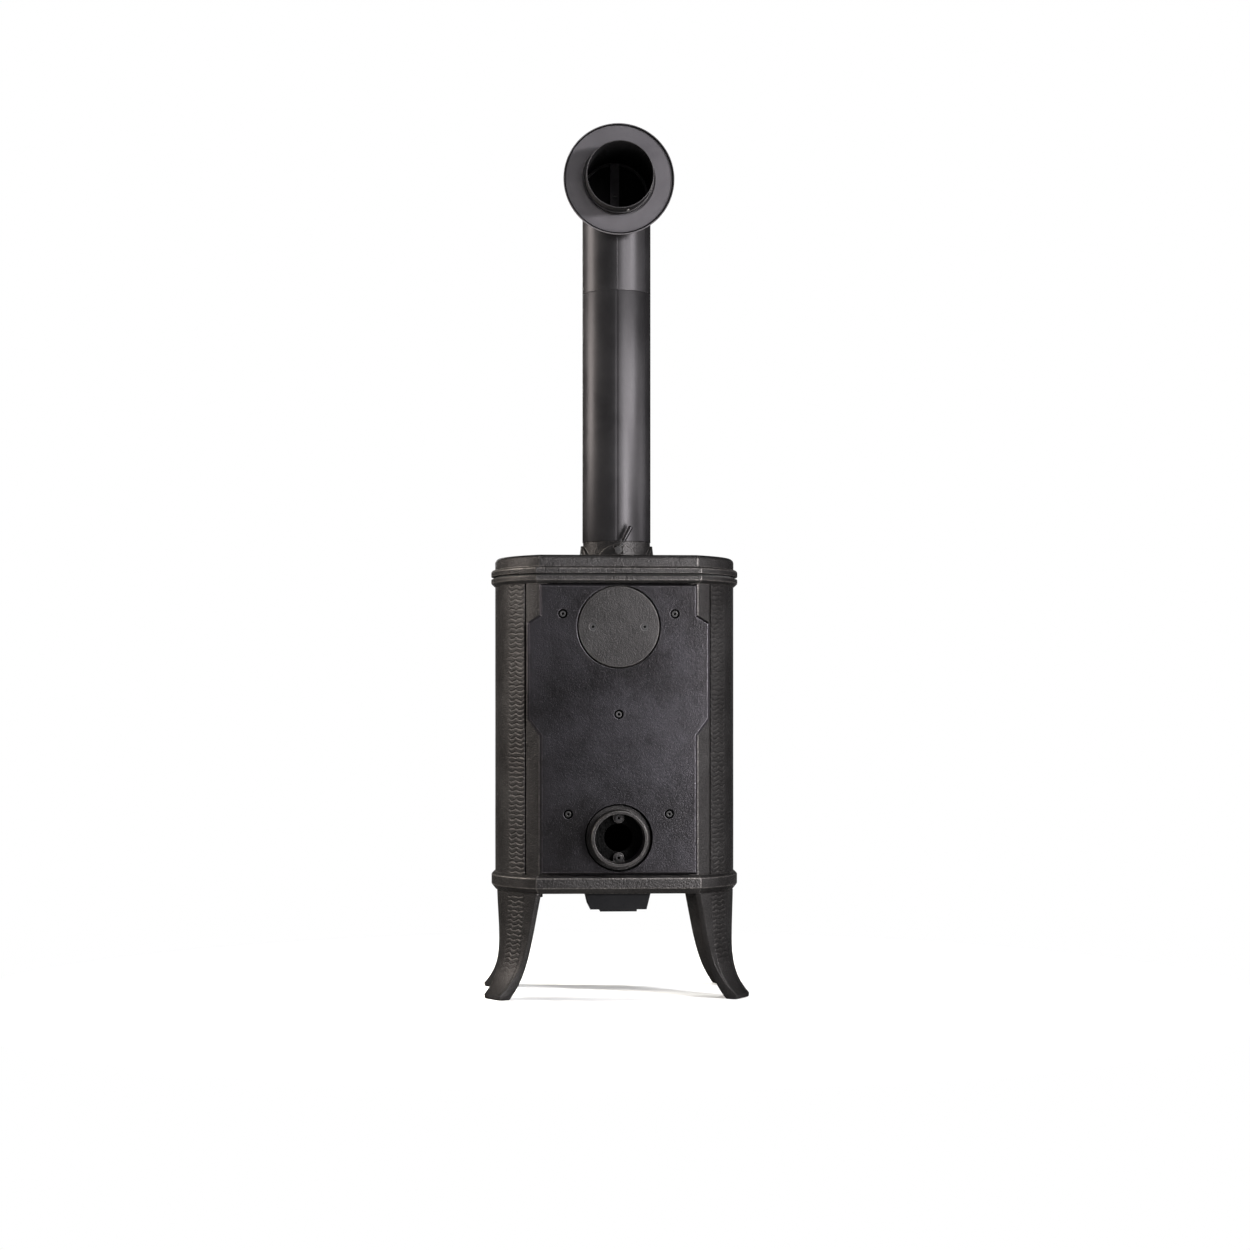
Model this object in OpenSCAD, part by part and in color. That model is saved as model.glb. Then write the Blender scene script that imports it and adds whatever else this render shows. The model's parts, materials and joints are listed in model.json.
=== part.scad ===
// Small cast-iron stove on four curved legs, with its flue pipe, elbow and wall rosette.
// Millimetres. +Z is up, the floor is z = 0, the door faces -Y and the rear wall faces +Y.
// The origin lies on the floor in the middle of the footprint. Left and right are as seen from the front.

/* [Body] */
// Width over the two round side panels
body_w = 400; // [380:5:440]
// Distance between the flat front and rear planes
body_d = 276; // [270:2:300]
// How far the round sides bulge beyond the body's corners
side_rise = 70.7; // [68:0.1:74]
// Height of the side panels
panel_h = 474.4; // [460:2:560]
// Thickness of the side panels
panel_t = 7; // [6:0.5:8]
// Wall of the castings
cast_t = 8; // [7:0.5:9]
// Width of a corner casting along the round side
corner_strip = 27.2; // [25:0.1:28]
// Width of the groove between a corner casting and a side panel
panel_groove = 4.2; // [3:0.1:5]

/* [Base and legs] */
// Height of the base casting above the floor
leg_h = 174; // [150:2:200]
// Height of the base casting
base_h = 30.2; // [28:0.2:34]
// How far the base band stands proud of the round sides
base_proud = 6; // [4:0.5:8]
// How far the bands stand proud of the flat faces
face_proud = 4; // [3:0.5:5]
// How far the toes reach beyond the round sides
toe_reach = 38; // [30:1:45]
// Height of the upright face of a toe
toe_face_h = 7; // [5:1:9]
// Half width of a leg at the floor
leg_foot_half = 23; // [18:1:28]
// Half width of a leg under the base
leg_top_half = 61.5; // [55:0.5:62]
// Place of a leg along its round side, as a share of the way from the middle to the corner
leg_place_share = 0.58; // [0.56:0.01:0.6]

/* [Top] */
// Height of the top frame
top_frame_h = 12.4; // [11:0.2:16]
// Height of the dark gap that holds the sealing rope
gasket_gap = 3.7; // [3:0.1:5]
// Height of the flange of the top plate
flange_h = 10.9; // [9:0.1:14]
// Height of the deck above the flange
deck_h = 19.4; // [17:0.2:24]
// How far the flanges stand proud of the round sides
flange_proud = 6.5; // [5:0.5:8]

/* [Rear] */
// Distance from the body's rear corner in to the edge of the rear shield, at its top and foot
shield_margin = 0.8; // [0.5:0.1:3]
// How far the rear shield reaches past the body's rear corner between
shield_overhang = 19.2; // [14:0.2:19.2]
// Thickness of the rear shield
shield_t = 5; // [4:0.5:6]
// Distance from the shield's back to the rear wall
shield_gap = 12; // [10:1:14]
// Thickness of the rear wall and the front casting's inner plate
wall_t = 7; // [6:0.5:8]
// Distance from the top of the panels down to the rear flue outlet
outlet_down = 71; // [70:1:90]
// Bore of the rear flue outlet
outlet_r = 52; // [48:1:54]
// Height of the air inlet above the base
inlet_up = 60.8; // [60:0.2:64]
// Bore of the air inlet spigot
inlet_bore_r = 40.4; // [38:0.2:41]
// Wall of the air inlet spigot
inlet_wall = 5.5; // [4:0.5:6]
// How far the air inlet spigot stands out of the rear plane
inlet_reach = 40; // [30:1:44]

/* [Flue] */
// Distance from the rear plane forward to the axis of the upright flue
flue_in = 70; // [70:1:76]
// Outer radius of the flue pipe
pipe_r = 56.2; // [54:0.2:58]
// Wall of the flue pipe and elbow
pipe_wall = 1.2; // [1:0.1:2]
// Height of the collar's neck above the deck
neck_h = 23; // [22:1:28]
// Length of the visible flue pipe
pipe_l = 410; // [300:10:600]
// Height of the horizontal flue axis above the top of the visible pipe
elbow_rise = 175; // [150:5:200]
// How far the male end of the elbow reaches behind the rear plane
flue_reach = 48; // [44:1:60]
// Outer radius of the wall rosette
rosette_r = 90; // [80:1:100]
// Lean of the damper lever from upright
damper_lean = 28; // [20:1:32]

/* [Front] */
// Distance from the body's front corner in to the edge of the door
door_margin = 15.3; // [15:0.1:20]
// Distance from the base up to the door
door_up = 58; // [56:1:62]
// Distance from the door up to the top frame
door_top_room = 30; // [28:1:40]
// Thickness of the door casting
door_t = 20; // [18:1:24]
// Radius of the hinge pins
hinge_pin_r = 5; // [4:0.5:5]
// How far the front parts reach beyond the front plane
front_reach = 68; // [68:1:74]
// Half width of the ash drawer's opening
drawer_half = 95; // [85:1:96]
// Height of the ash drawer's opening
drawer_h = 38; // [36:1:40]

/* [Hidden] */
$fn = 96;

// Overrun of every cut
cut = 1;
// Gap between pieces that move past each other
move_gap = 0.3;
// Radial play of a turning or sliding fit
fit_gap = 0.05;
// Radial play of a bolt in a plain hole
bolt_gap = 0.3;
// Radial play of a thread in its hole
thread_gap = 0.05;

function sq(v) = v * v;

// Angle that a length along a round side takes up
function arc_angle(l) = l / side_r * 180 / PI;

// Axis of a round side, the flat planes and the corners
side_r = (sq(body_d / 2) + sq(side_rise)) / (2 * side_rise);
side_off = body_w / 2 - side_r;
middle_half = max(side_off, cut);
mid_y = (front_reach - flue_reach) / 2;
rear_y = mid_y + body_d / 2;
front_y = mid_y - body_d / 2;
corner_x = body_w / 2 - side_rise;
corner_angle = asin(body_d / 2 / side_r);
corner_start_angle = corner_angle - arc_angle(corner_strip);
panel_half_angle = corner_start_angle - arc_angle(panel_groove);
leg_angle = leg_place_share * corner_angle;

// Heights of the castings
panel_low = leg_h + base_h;
panel_high = panel_low + panel_h;
ring_high = panel_high + top_frame_h;
plate_low = ring_high + gasket_gap;
flange_high = plate_low + flange_h;
deck_z = flange_high + deck_h;

// Heights and places of the flue
flue_y = rear_y - flue_in;
neck_z = deck_z + neck_h;
pipe_top = neck_z + pipe_l;
flue_z = pipe_top + elbow_rise;
pipe_bore_r = pipe_r - pipe_wall;

// Base: bevels, pocket and leg bosses
base_low_bevel = 9;
base_low_inset = 7;
base_top_bevel = 5.2;
base_top_inset = 5;
face_low_inset = 6;
face_top_inset = 4;
rim_t = 12;
boss_r = 10;
leg_bolt_r = 4;
leg_bolt_in = 26;
leg_bolt_circle_r = side_r - leg_bolt_in;
leg_bolt_angle = 9;
leg_bolt_depth = 17;
leg_bolt_head_r = 6.5;
leg_bolt_head_h = 5;
leg_pad_in = 38;
leg_pad_in_r = side_r - leg_pad_in;
leg_pad_angle = 14;
leg_sweep = 60;
leg_steps = 13;
leg_step_power = 1.7;
toe_power = 5;
toe_back_in = 12;
toe_back = toe_reach - toe_back_in;

// Tie rods between base and top plate
rod_r = 4;
rod_side_in = 13.3;
rod_face_in = 26;
rod_x = corner_x - rod_side_in;
rod_y = body_d / 2 - rod_face_in;
rod_nut_r = 7.5;
rod_nut_h = 6;
rod_tail = 4;
rod_boss_r = 10;
rod_grip = 17;

// Lips of the corner castings behind the panel edges
lip_t = 5;
lip_gap = 0.3;
lip_cover_angle = 3;
// How far the corner castings reach in from the corner along the flat planes
corner_return = 15.2;

// Rear wall, its bosses and the shield's screws
wall_rear_y = rear_y - shield_gap;
wall_in_y = wall_rear_y - wall_t;
shield_boss_r = 9;
shield_screw_r = 3;
shield_head_r = 4.7;
shield_head_h = 2.8;
shield_socket_r = 2.6;
shield_recess_r = 7.75;
shield_floor_t = 2;
shield_bevel = 4;
shield_end_gap = 1;
shield_top_screw_up = 21.1;
shield_mid_screw_down = 90;
shield_low_screw_up = 38.6;
outlet_z = panel_high - outlet_down;
inlet_z = panel_low + inlet_up;
shield_top_screw_x = 91;
shield_top_screw_z = outlet_z + shield_top_screw_up;
shield_mid_screw_z = outlet_z - outlet_r - shield_mid_screw_down;
shield_low_screw_x = 82;
shield_low_screw_z = inlet_z + shield_low_screw_up;
shield_screw_places = [
    [shield_top_screw_x, shield_top_screw_z], [-shield_top_screw_x, shield_top_screw_z],
    [0, shield_mid_screw_z],
    [shield_low_screw_x, shield_low_screw_z], [-shield_low_screw_x, shield_low_screw_z]
];
// Where the wide part of the shield begins and ends
wide_top_up = 6.8;
wide_top_run = 12.6;
wide_top_z = outlet_z + wide_top_up;
wide_low_down = 97.6;
wide_low_run = 27.5;
wide_low_z = outlet_z - outlet_r - wide_low_down;
// The shield's turned-in rims over the round corners
shield_rim_t = 5;
shield_rim_gap = 0.3;

// Rear flue outlet and its cover
outlet_ring_w = 14;
outlet_ring_r = outlet_r + outlet_ring_w;
cover_over = 14.35;
cover_r = outlet_r + cover_over;
cover_gap = 1.95;
cover_hole_r = cover_r + cover_gap;
cover_t = 5;
cover_bevel = 1.2;
cover_screw_in = 10;
cover_screw_x = outlet_r - cover_screw_in;
cover_screw_r = 3;
cover_head_r = 6.2;
cover_head_h = 3.2;
bridge_t = 6;
bridge_half_h = 10;
bridge_over = 8;
bridge_half = outlet_r + bridge_over;
// Overrun of a tapered cut
cone_over = 0.1;

// Air inlet
inlet_out_r = inlet_bore_r + inlet_wall;
inlet_flange_w = 6.5;
inlet_flange_r = inlet_out_r + inlet_flange_w;
inlet_flange_t = 6;
inlet_hole_gap = 2.7;
inlet_hole_r = inlet_flange_r + inlet_hole_gap;
inlet_lug_r = 9;
inlet_lug_t = 12;
inlet_lug_in = 7.9;
inlet_lug_off = inlet_bore_r - inlet_lug_in;
inlet_screw_r = 2.5;
inlet_head_r = 5;
inlet_head_h = 3;
inlet_washer_r = 6.5;
inlet_washer_t = 1.2;
air_hole_gap = 0.5;
air_hole_r = inlet_lug_off - inlet_lug_r - air_hole_gap;
inlet_rim_bevel = 1.2;
// Shoulder in the spigot's bore where the air pipe seats, clear of the two screws
inlet_seat_step = 0.8;
inlet_seat = inlet_lug_t + inlet_washer_t + inlet_head_h + inlet_seat_step;

// Air duct on the rear wall's inner face
duct_half = 60;
duct_depth = 26;
duct_over = 55;
duct_up = inlet_up + duct_over;
duct_wall = 3;
duct_y = wall_in_y - duct_depth;

// Air box under the base
box_rear_in = 8;
box_l = 148;
box_rear_y = rear_y - box_rear_in;
box_front_y = box_rear_y - box_l;
box_wall = 3;
box_top_half = 52.5;
box_low_half = 46;
box_low_drop = 26;
box_lip_half = 30;
box_lip_drop = 3.4;
pocket_z = panel_low - cast_t;
air_slot_half = 50;
air_slot_rear_y = wall_in_y - duct_wall;
air_slot_front_y = duct_y + duct_wall;
valve_slot_half = 30;
valve_slot_l = 34;
valve_slot_in = 21;
valve_slot_rear_y = duct_y - valve_slot_in;
valve_t = 3;
valve_half = 40;
valve_l = 42;
valve_lap = 4;
rail_w = 6;
rail_t = 3;
air_rod_r = 4;
air_rod_up = 12;
air_rod_z = leg_h + air_rod_up;
air_lug_t = 6;
air_knob_r = 9;
air_knob_l = 18;
air_knob_out = 22;
air_collar_l = 6;

// Ash drawer
drawer_sill = 8;
drawer_low = panel_low + drawer_sill;
drawer_high = drawer_low + drawer_h;
pan_side_gap = 3;
pan_half = drawer_half - pan_side_gap;
pan_top_gap = 4;
pan_h = drawer_h - pan_top_gap;
pan_wall = 2;
pan_back_gap = 5;
pan_back_y = duct_y - pan_back_gap;
pan_front_side = 6;
pan_front_half = drawer_half + pan_front_side;
pan_front_up = 6.8;
pan_front_low = panel_low + pan_front_up;
pan_front_t = 8;
pan_front_bevel = 2;
pan_front_over = 4;
rib_half_w = 5;
rib_x = 60;
knob_stem_r = 4;
knob_stem_l = 8;
knob_r = 11;
knob_l = 14;
lip_shelf_t = 6;
lip_shelf_short = 6;
lip_shelf_reach = front_reach - lip_shelf_short;
lip_tongue_half = 7;
lip_tongue_x = 70;
lip_tongue_h = 3.5;
lip_rim_h = 3;
lip_rim_t = 4;
lip_shelf_half = 108;
lip_shelf_round = 18;

// Fire bed and the linings
front_t = 10;
ledge_t = 8;
ledge_w = 32;
ledge_reach = 12;
bed_low = drawer_high + ledge_t;
bed_t = 8;
bed_z = bed_low + bed_t;
bed_in = 14;
bed_gap = 1;
grate_half = 65;
grate_lap = 4;
grate_t = 6;
grate_fore = 12;
grate_y = mid_y - grate_fore;
grate_gap = 0.5;
grate_slots = 6;
grate_slot_w = 9;
grate_rim = 10;
burn_h = 274;
burn_t = 14;
burn_in = 28;
burn_r = side_r - burn_in;
burn_end_angle = 3.7;
burn_half_angle = panel_half_angle - burn_end_angle;
rear_burn_t = 18;
rear_burn_half = 100;
baffle_t = 12;
baffle_in = 16;
baffle_front_gap = 58;
guard_half = 94;
guard_h = 34;
guard_t = 6;
guard_back = 28;
guard_y = front_y + guard_back;
guard_slots = 5;
guard_slot_share = 0.7;
guard_rim = 7;

// Top plate
plate_t = 10;
plate_rim_t = 14;
ring_opening = 20;
ring_chamfer = 5.3;
ring_chamfer_in = 5.5;
ledge_bevel = 2.6;
ledge_in = 2;
deck_round = 6;
deck_round_in = 5;
deck_mid_share = 0.45;
deck_mid_in_share = 0.3;
flue_hole_r = 50;
gasket_out = 0.5;
gasket_w = 7.5;

// Flue collar
collar_bore_r = 50;
neck_in = 0.8;
neck_r = pipe_r - neck_in;
spigot_gap = 0.3;
spigot_r = pipe_bore_r - spigot_gap;
spigot_l = 40;
lug_low_out = 4.8;
lug_low_r = pipe_r + lug_low_out;
lug_high_out = 2.8;
lug_high_r = pipe_r + lug_high_out;
lug_rise = 18;
lug_half_w = 31;
lug_arch_r = (lug_rise * lug_rise + lug_half_w * lug_half_w) / (2 * lug_rise);
collar_bolt_r = 3;
collar_bolt_out = 0.4;
collar_bolt_circle_r = neck_r + collar_bolt_out;
collar_bolt_depth = 13;
collar_head_r = 5;
collar_head_h = 4;

// Damper
damper_up = 8;
damper_z = deck_z + damper_up;
spindle_r = 4;
spindle_front_out = 0.8;
spindle_front = pipe_r + spindle_front_out;
lever_out = 11.8;
lever_y = flue_y + pipe_r + lever_out;
lever_hub_r = 6;
lever_hub_half = 2.5;
lever_rod_r = 1.8;
lever_rod_l = 20;
grip_r = 3.8;
grip_start = 16;
grip_l = 27;
blade_r = 47.5;
blade_t = 3;
blade_hub_r = 7;
blade_hub_half = 45;
pocket_half_w = 7;
pocket_h = 15;

// Elbow, clean-out and rosette
male_in = 1.7;
male_r = pipe_r - male_in;
male_bore_r = male_r - pipe_wall;
male_l = 35;
tee_bore_out = 0.4;
tee_bore_r = pipe_r + tee_bore_out;
tee_r = tee_bore_r + pipe_wall;
tee_front_out = 9.8;
tee_front_y = flue_y - pipe_r - tee_front_out;
tee_rear_in = 8;
tee_rear_y = rear_y - tee_rear_in;
bead_depth = 3.4;
bead_in_r = pipe_r - bead_depth;
bead_t = 2;
bead_back = 4;
strap_half_w = 7.5;
strap_end_gap = 0.8;
strap_half = pipe_r - strap_end_gap;
strap_t = 3;
cover_plate_t = 2;
cover_plate_over = 2;
cleanout_screw_r = 3;
cleanout_knob_r = 13;
cleanout_knob_l = 14;
cleanout_tail = 5;
rosette_out = 8;
rosette_y = rear_y + rosette_out;
rosette_t = 1.2;
rosette_rim = 3;
rosette_ring_out = 4.3;
rosette_ring_r = pipe_r + rosette_ring_out;
rosette_collar_l = 14;
rosette_collar_back = 4;
root_past = 2;
root_end_y = rosette_y + rosette_t + rosette_rim + root_past;

// Door
door_half = corner_x - door_margin;
door_low = panel_low + door_up;
door_high = panel_high - door_top_room;
door_gap = 3;
door_rear_y = front_y - door_gap;
door_front_y = door_rear_y - door_t;
door_bevel = 5;
door_opening_in = 17;
opening_half = door_half - door_opening_in;
opening_end_in = 14;
opening_low = door_low + opening_end_in;
opening_high = door_high - opening_end_in;
opening_round = 10;
hinge_out = 8;
hinge_x = -door_half - hinge_out;
hinge_fore = 14;
hinge_y = front_y - hinge_fore;
hinge_wall = 2;
hinge_r = hinge_pin_r + hinge_wall;
hinge_lug_h = 16;
hinge_knuckle_h = 16;
hinge_up = 60;
hinge_h = 2 * hinge_lug_h + hinge_knuckle_h + 2 * move_gap;
hinge_lows = [door_low + hinge_up, door_high - hinge_up - hinge_h];
pin_tail = 2;
pin_head_lip = 1.5;
pin_head_r = hinge_pin_r + pin_head_lip;
pin_head_h = 3;
window_side_in = 42;
window_half = door_half - window_side_in;
window_low_in = 62;
window_low = door_low + window_low_in;
window_top_in = 46;
window_high = door_high - window_top_in;
window_round = 14;
bead_h = 3;
bead_out = 10;
glass_over = 5;
glass_gap = 0.5;
glass_t = 4;
glass_pocket = 10;
clip_half_w = 7;
clip_t = 2;
clip_reach = 12;
clip_end_in = 20;
clip_screw_r = 2;
clip_head_r = 3.8;
clip_head_h = 1.6;
clip_screw_l = 6;
rope_in = 6;
rope_w = 8;
rope_groove = 4;

// Handle and latch
handle_in = 27;
handle_x = door_half - handle_in;
handle_z = (door_low + door_high) / 2;
shaft_r = 5;
shaft_boss_r = 13;
handle_hub_r = 11;
handle_hub_l = 10;
arm_l = 55;
arm_half_w = 6;
arm_t = 6;
handle_grip_r = 9;
grip_taper_l = 10.6;
grip_bevel = 2;
grip_pin_r = 3;
grip_pin_l = 22.6;
tongue_l = 26;
tongue_half_w = 5;
tongue_t = 6;
tongue_hub_r = 7;
latch_end_r = 3;
latch_nut_r = 5;
latch_nut_t = 3;
keeper_t = 1.2;
latch_back = door_gap + front_t + keeper_t + move_gap;
keeper_half_h = 20;
keeper_w = 16;
keeper_screw_r = 2;

// Airwash slider above the door
airwash_up = 8;
airwash_low = door_high + airwash_up;
airwash_h = 13;
airwash_half = 70;
airwash_t = 3;
airwash_pitch = 30;
airwash_travel = airwash_pitch / 2;
airwash_slots = 4;
airwash_slot_half_w = 6;
airwash_slot_half_h = 3.5;
guide_t = 2;
guide_w = 3;
guide_lap = 1.5;
airwash_knob_r = 6;
airwash_knob_l = 7.5;
airwash_stem_r = 3;
airwash_stem_l = 7.5;

// Shared shapes

// Moves and turns a shape drawn on the floor so that its +Z points at the front
module facing_front(x, y, z) {
    translate([x, y, z]) rotate([90, 0, 0]) children();
}

// Moves and turns a shape drawn on the floor so that its +Z points at the rear
module facing_rear(x, y, z) {
    translate([x, y, z]) rotate([90, 0, 180]) children();
}

// Box given by its lowest and highest corners
module block(low, high) {
    translate(low) cube(high - low);
}

// Plan of the body: round sides cut by the flat front and rear planes
module plan(side_grow = 0, face_grow = 0) {
    translate([0, mid_y])
        intersection() {
            union() {
                for (side = [-1, 1])
                    translate([side * side_off, 0]) circle(r = side_r + side_grow);
                square([2 * middle_half, 2 * (side_r + side_grow)], center = true);
            }
            square([2 * body_w, body_d + 2 * face_grow], center = true);
        }
}

// Band round the body whose faces lean from its foot to its top
module band(z, h, side_low, side_high, face_low, face_high) {
    half_low = body_d / 2 + face_low;
    half_high = body_d / 2 + face_high;
    translate([0, mid_y, z])
        intersection() {
            union() {
                for (side = [-1, 1])
                    translate([side * side_off, 0, 0])
                        cylinder(r1 = side_r + side_low, r2 = side_r + side_high, h = h);
                block([-middle_half, -side_r, 0], [middle_half, side_r, h]);
            }
            rotate([90, 0, 90])
                translate([0, 0, -body_w])
                    linear_extrude(2 * body_w)
                        polygon([[-half_low, 0], [half_low, 0], [half_high, h], [-half_high, h]]);
        }
}

// Core shared by a casting's tiers
module core(low, high) translate([0, 0, low]) linear_extrude(high - low) plan(-cast_t, -cast_t);

// Part of a flat ring between two angles
module sector(r_in, r_out, from, to) {
    reach = 2 * r_out;
    middle = (from + to) / 2;
    intersection() {
        difference() {
            circle(r = r_out);
            circle(r = r_in);
        }
        polygon([
            [0, 0], reach * [cos(from), sin(from)],
            reach * [cos(middle), sin(middle)], reach * [cos(to), sin(to)]
        ]);
    }
}

// Upright wall that follows a round side between two angles
module round_wall(side, r_in, r_out, half_angle, z, h) {
    mirror([side < 0 ? 1 : 0, 0, 0])
        translate([side_off, mid_y, z])
            linear_extrude(h) sector(r_in, r_out, -half_angle, half_angle);
}

// Rectangle between two heights with rounded corners
module round_rect(half_w, low, high, r) {
    translate([-half_w, low + r]) square([2 * half_w, high - low - 2 * r]);
    translate([-half_w + r, low]) square([2 * (half_w - r), high - low]);
    for (x = [-half_w + r, half_w - r], z = [low + r, high - r])
        translate([x, z]) circle(r = r);
}

// Flat plate with an even bevel round its front face
module bevel_plate(points, t, bevel) {
    hull() {
        linear_extrude(t - bevel) polygon(points);
        linear_extrude(t) offset(delta = -bevel) polygon(points);
    }
}

// Rectangular plate between two heights whose front edges are bevelled
module bevel_block(half_w, low, high, t, bevel) {
    mid = (low + high) / 2;
    half_h = (high - low) / 2;
    translate([0, mid, 0])
        intersection() {
            rotate([90, 0, 0])
                translate([0, 0, -half_h])
                    linear_extrude(2 * half_h) bevel_profile(half_w, t, bevel);
            rotate([90, 0, 90])
                translate([0, 0, -half_w])
                    linear_extrude(2 * half_w) bevel_profile(half_h, t, bevel);
        }
}

module bevel_profile(half, t, bevel) {
    polygon([
        [-half, 0], [half, 0], [half, t - bevel], [half - bevel, t],
        [bevel - half, t], [-half, t - bevel]
    ]);
}

// Round cut that runs a little past both ends of its length
module hole(r, l) {
    translate([0, 0, -cut]) cylinder(r = r, h = l + 2 * cut);
}

// Screw with its head's seat at the origin, its head upward and its shank downward
module cap_screw(shank_r, shank_l, head_r, head_h, socket_r) {
    difference() {
        union() {
            translate([0, 0, -shank_l]) cylinder(r = shank_r, h = shank_l);
            cylinder(r = head_r, h = head_h);
        }
        translate([0, 0, head_h / 2]) cylinder(r = socket_r, h = head_h, $fn = 6);
    }
}

// Hexagon bolt with its head's seat at the origin, its head downward and its shank upward
module hex_bolt(shank_r, shank_l, head_r, head_h) {
    translate([0, 0, -head_h]) cylinder(r = head_r, h = head_h, $fn = 6);
    cylinder(r = shank_r, h = shank_l);
}

// Base and legs

module base_casting() color([0.2, 0.19, 0.19]) {
    top_flat = base_h - base_top_bevel;
    low_side = base_proud - base_low_inset;
    low_face = face_proud - face_low_inset;
    difference() {
        union() {
            band(leg_h, base_low_bevel, low_side, base_proud, low_face, face_proud);
            translate([0, 0, leg_h + base_low_bevel])
                linear_extrude(top_flat - base_low_bevel) plan(base_proud, face_proud);
            band(leg_h + top_flat, base_top_bevel, base_proud, base_proud - base_top_inset,
                 face_proud, face_proud - face_top_inset);
            core(leg_h, panel_low);
            for (x = [-rib_x, rib_x])
                block([x - rib_half_w, front_y + front_t + 2 * cut, panel_low - cut],
                      [x + rib_half_w, pan_back_y, drawer_low]);
        }
        difference() {
            translate([0, 0, leg_h - cut])
                linear_extrude(base_h - cast_t + cut) plan(-rim_t, -rim_t);
            leg_bolt_places()
                translate([0, 0, leg_h]) cylinder(r = boss_r, h = base_h);
        }
        leg_bolt_places()
            translate([0, 0, leg_h]) hole(leg_bolt_r + thread_gap, leg_bolt_depth);
        rod_places()
            translate([0, 0, leg_h]) cylinder(r = rod_r + bolt_gap, h = 2 * base_h);
        block([-box_top_half - move_gap, box_front_y, leg_h - cut],
              [box_top_half + move_gap, box_rear_y + move_gap, pocket_z]);
        block([-air_slot_half, air_slot_front_y, leg_h], [air_slot_half, air_slot_rear_y, panel_low + cut]);
        block([-valve_slot_half, valve_slot_rear_y - valve_slot_l, leg_h],
              [valve_slot_half, valve_slot_rear_y, panel_low + cut]);
        facing_front(0, front_y + rim_t, air_rod_z) hole(air_rod_r + fit_gap, rim_t + face_proud);
    }
}

// The four legs stand in mirrored places round the body
module leg_place(side, end) {
    translate([0, mid_y, 0])
        mirror([side < 0 ? 1 : 0, 0, 0])
            mirror([0, end < 0 ? 1 : 0, 0])
                translate([side_off, 0, 0]) rotate([0, 0, leg_angle]) children();
}

module leg_bolt_places() {
    for (side = [-1, 1], end = [-1, 1], turn = [-leg_bolt_angle, leg_bolt_angle])
        leg_place(side, end)
            rotate([0, 0, turn]) translate([leg_bolt_circle_r, 0, 0]) children();
}

module rod_places() {
    for (x = [-rod_x, rod_x], y = [-rod_y, rod_y])
        translate([x, mid_y + y, 0]) children();
}

// Outer and inner radius of a leg at a height
function leg_out(z) =
    side_r + toe_reach * pow(1 - max(z - toe_face_h, 0) / (leg_h - toe_face_h), toe_power);
function leg_in(z) = side_r - cast_t + toe_back * pow(1 - z / leg_h, toe_power);
function leg_step_z(i) =
    toe_face_h + (leg_h - toe_face_h) * pow(i / leg_steps, leg_step_power);

module leg(side, end) color([0.2, 0.19, 0.19])
    leg_place(side, end)
        difference() {
            union() {
                intersection() {
                    rotate([0, 0, -leg_sweep / 2])
                        rotate_extrude(angle = leg_sweep)
                            polygon(concat(
                                [[leg_in(0), 0], [leg_out(0), 0]],
                                [for (i = [0 : leg_steps]) [leg_out(leg_step_z(i)), leg_step_z(i)]],
                                [for (i = [leg_steps : -1 : 0]) [leg_in(leg_step_z(i)), leg_step_z(i)]]
                            ));
                    rotate([90, 0, 90])
                        linear_extrude(2 * side_r)
                            polygon([
                                [-leg_foot_half, 0], [leg_foot_half, 0],
                                [leg_top_half, leg_h], [-leg_top_half, leg_h]
                            ]);
                }
                translate([0, 0, leg_h - cast_t])
                    linear_extrude(cast_t)
                        sector(leg_pad_in_r, side_r - cast_t / 2, -leg_pad_angle, leg_pad_angle);
            }
            for (turn = [-leg_bolt_angle, leg_bolt_angle])
                rotate([0, 0, turn])
                    translate([leg_bolt_circle_r, 0, leg_h - cast_t]) hole(leg_bolt_r + bolt_gap, cast_t);
        }

module leg_rear_left() leg(-1, 1);
module leg_rear_right() leg(1, 1);
module leg_front_left() leg(-1, -1);
module leg_front_right() leg(1, -1);

module leg_bolts() color([0.3, 0.3, 0.3])
    leg_bolt_places()
        translate([0, 0, leg_h - cast_t])
            hex_bolt(leg_bolt_r, cast_t + leg_bolt_depth, leg_bolt_head_r, leg_bolt_head_h);

// Body

module side_panel_left() color([0.22, 0.21, 0.21])
    round_wall(-1, side_r - panel_t, side_r, panel_half_angle, panel_low, panel_h);

module side_panel_right() color([0.22, 0.21, 0.21])
    round_wall(1, side_r - panel_t, side_r, panel_half_angle, panel_low, panel_h);

// Corner strips with their lips behind the panel edges, for one end of the body
module corner_strips(end) {
    lip_out = side_r - panel_t - lip_gap;
    for (side = [-1, 1])
        translate([0, mid_y])
            intersection() {
                mirror([side < 0 ? 1 : 0, 0])
                    mirror([0, end < 0 ? 1 : 0])
                        translate([side_off, 0]) {
                            sector(side_r - cast_t, side_r, corner_start_angle, 90);
                            sector(lip_out - lip_t, lip_out,
                                   panel_half_angle - lip_cover_angle, corner_start_angle + lip_cover_angle);
                        }
                difference() {
                    square([2 * body_w, body_d], center = true);
                    square([2 * (corner_x - corner_return), 2 * body_d], center = true);
                }
            }
}

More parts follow.
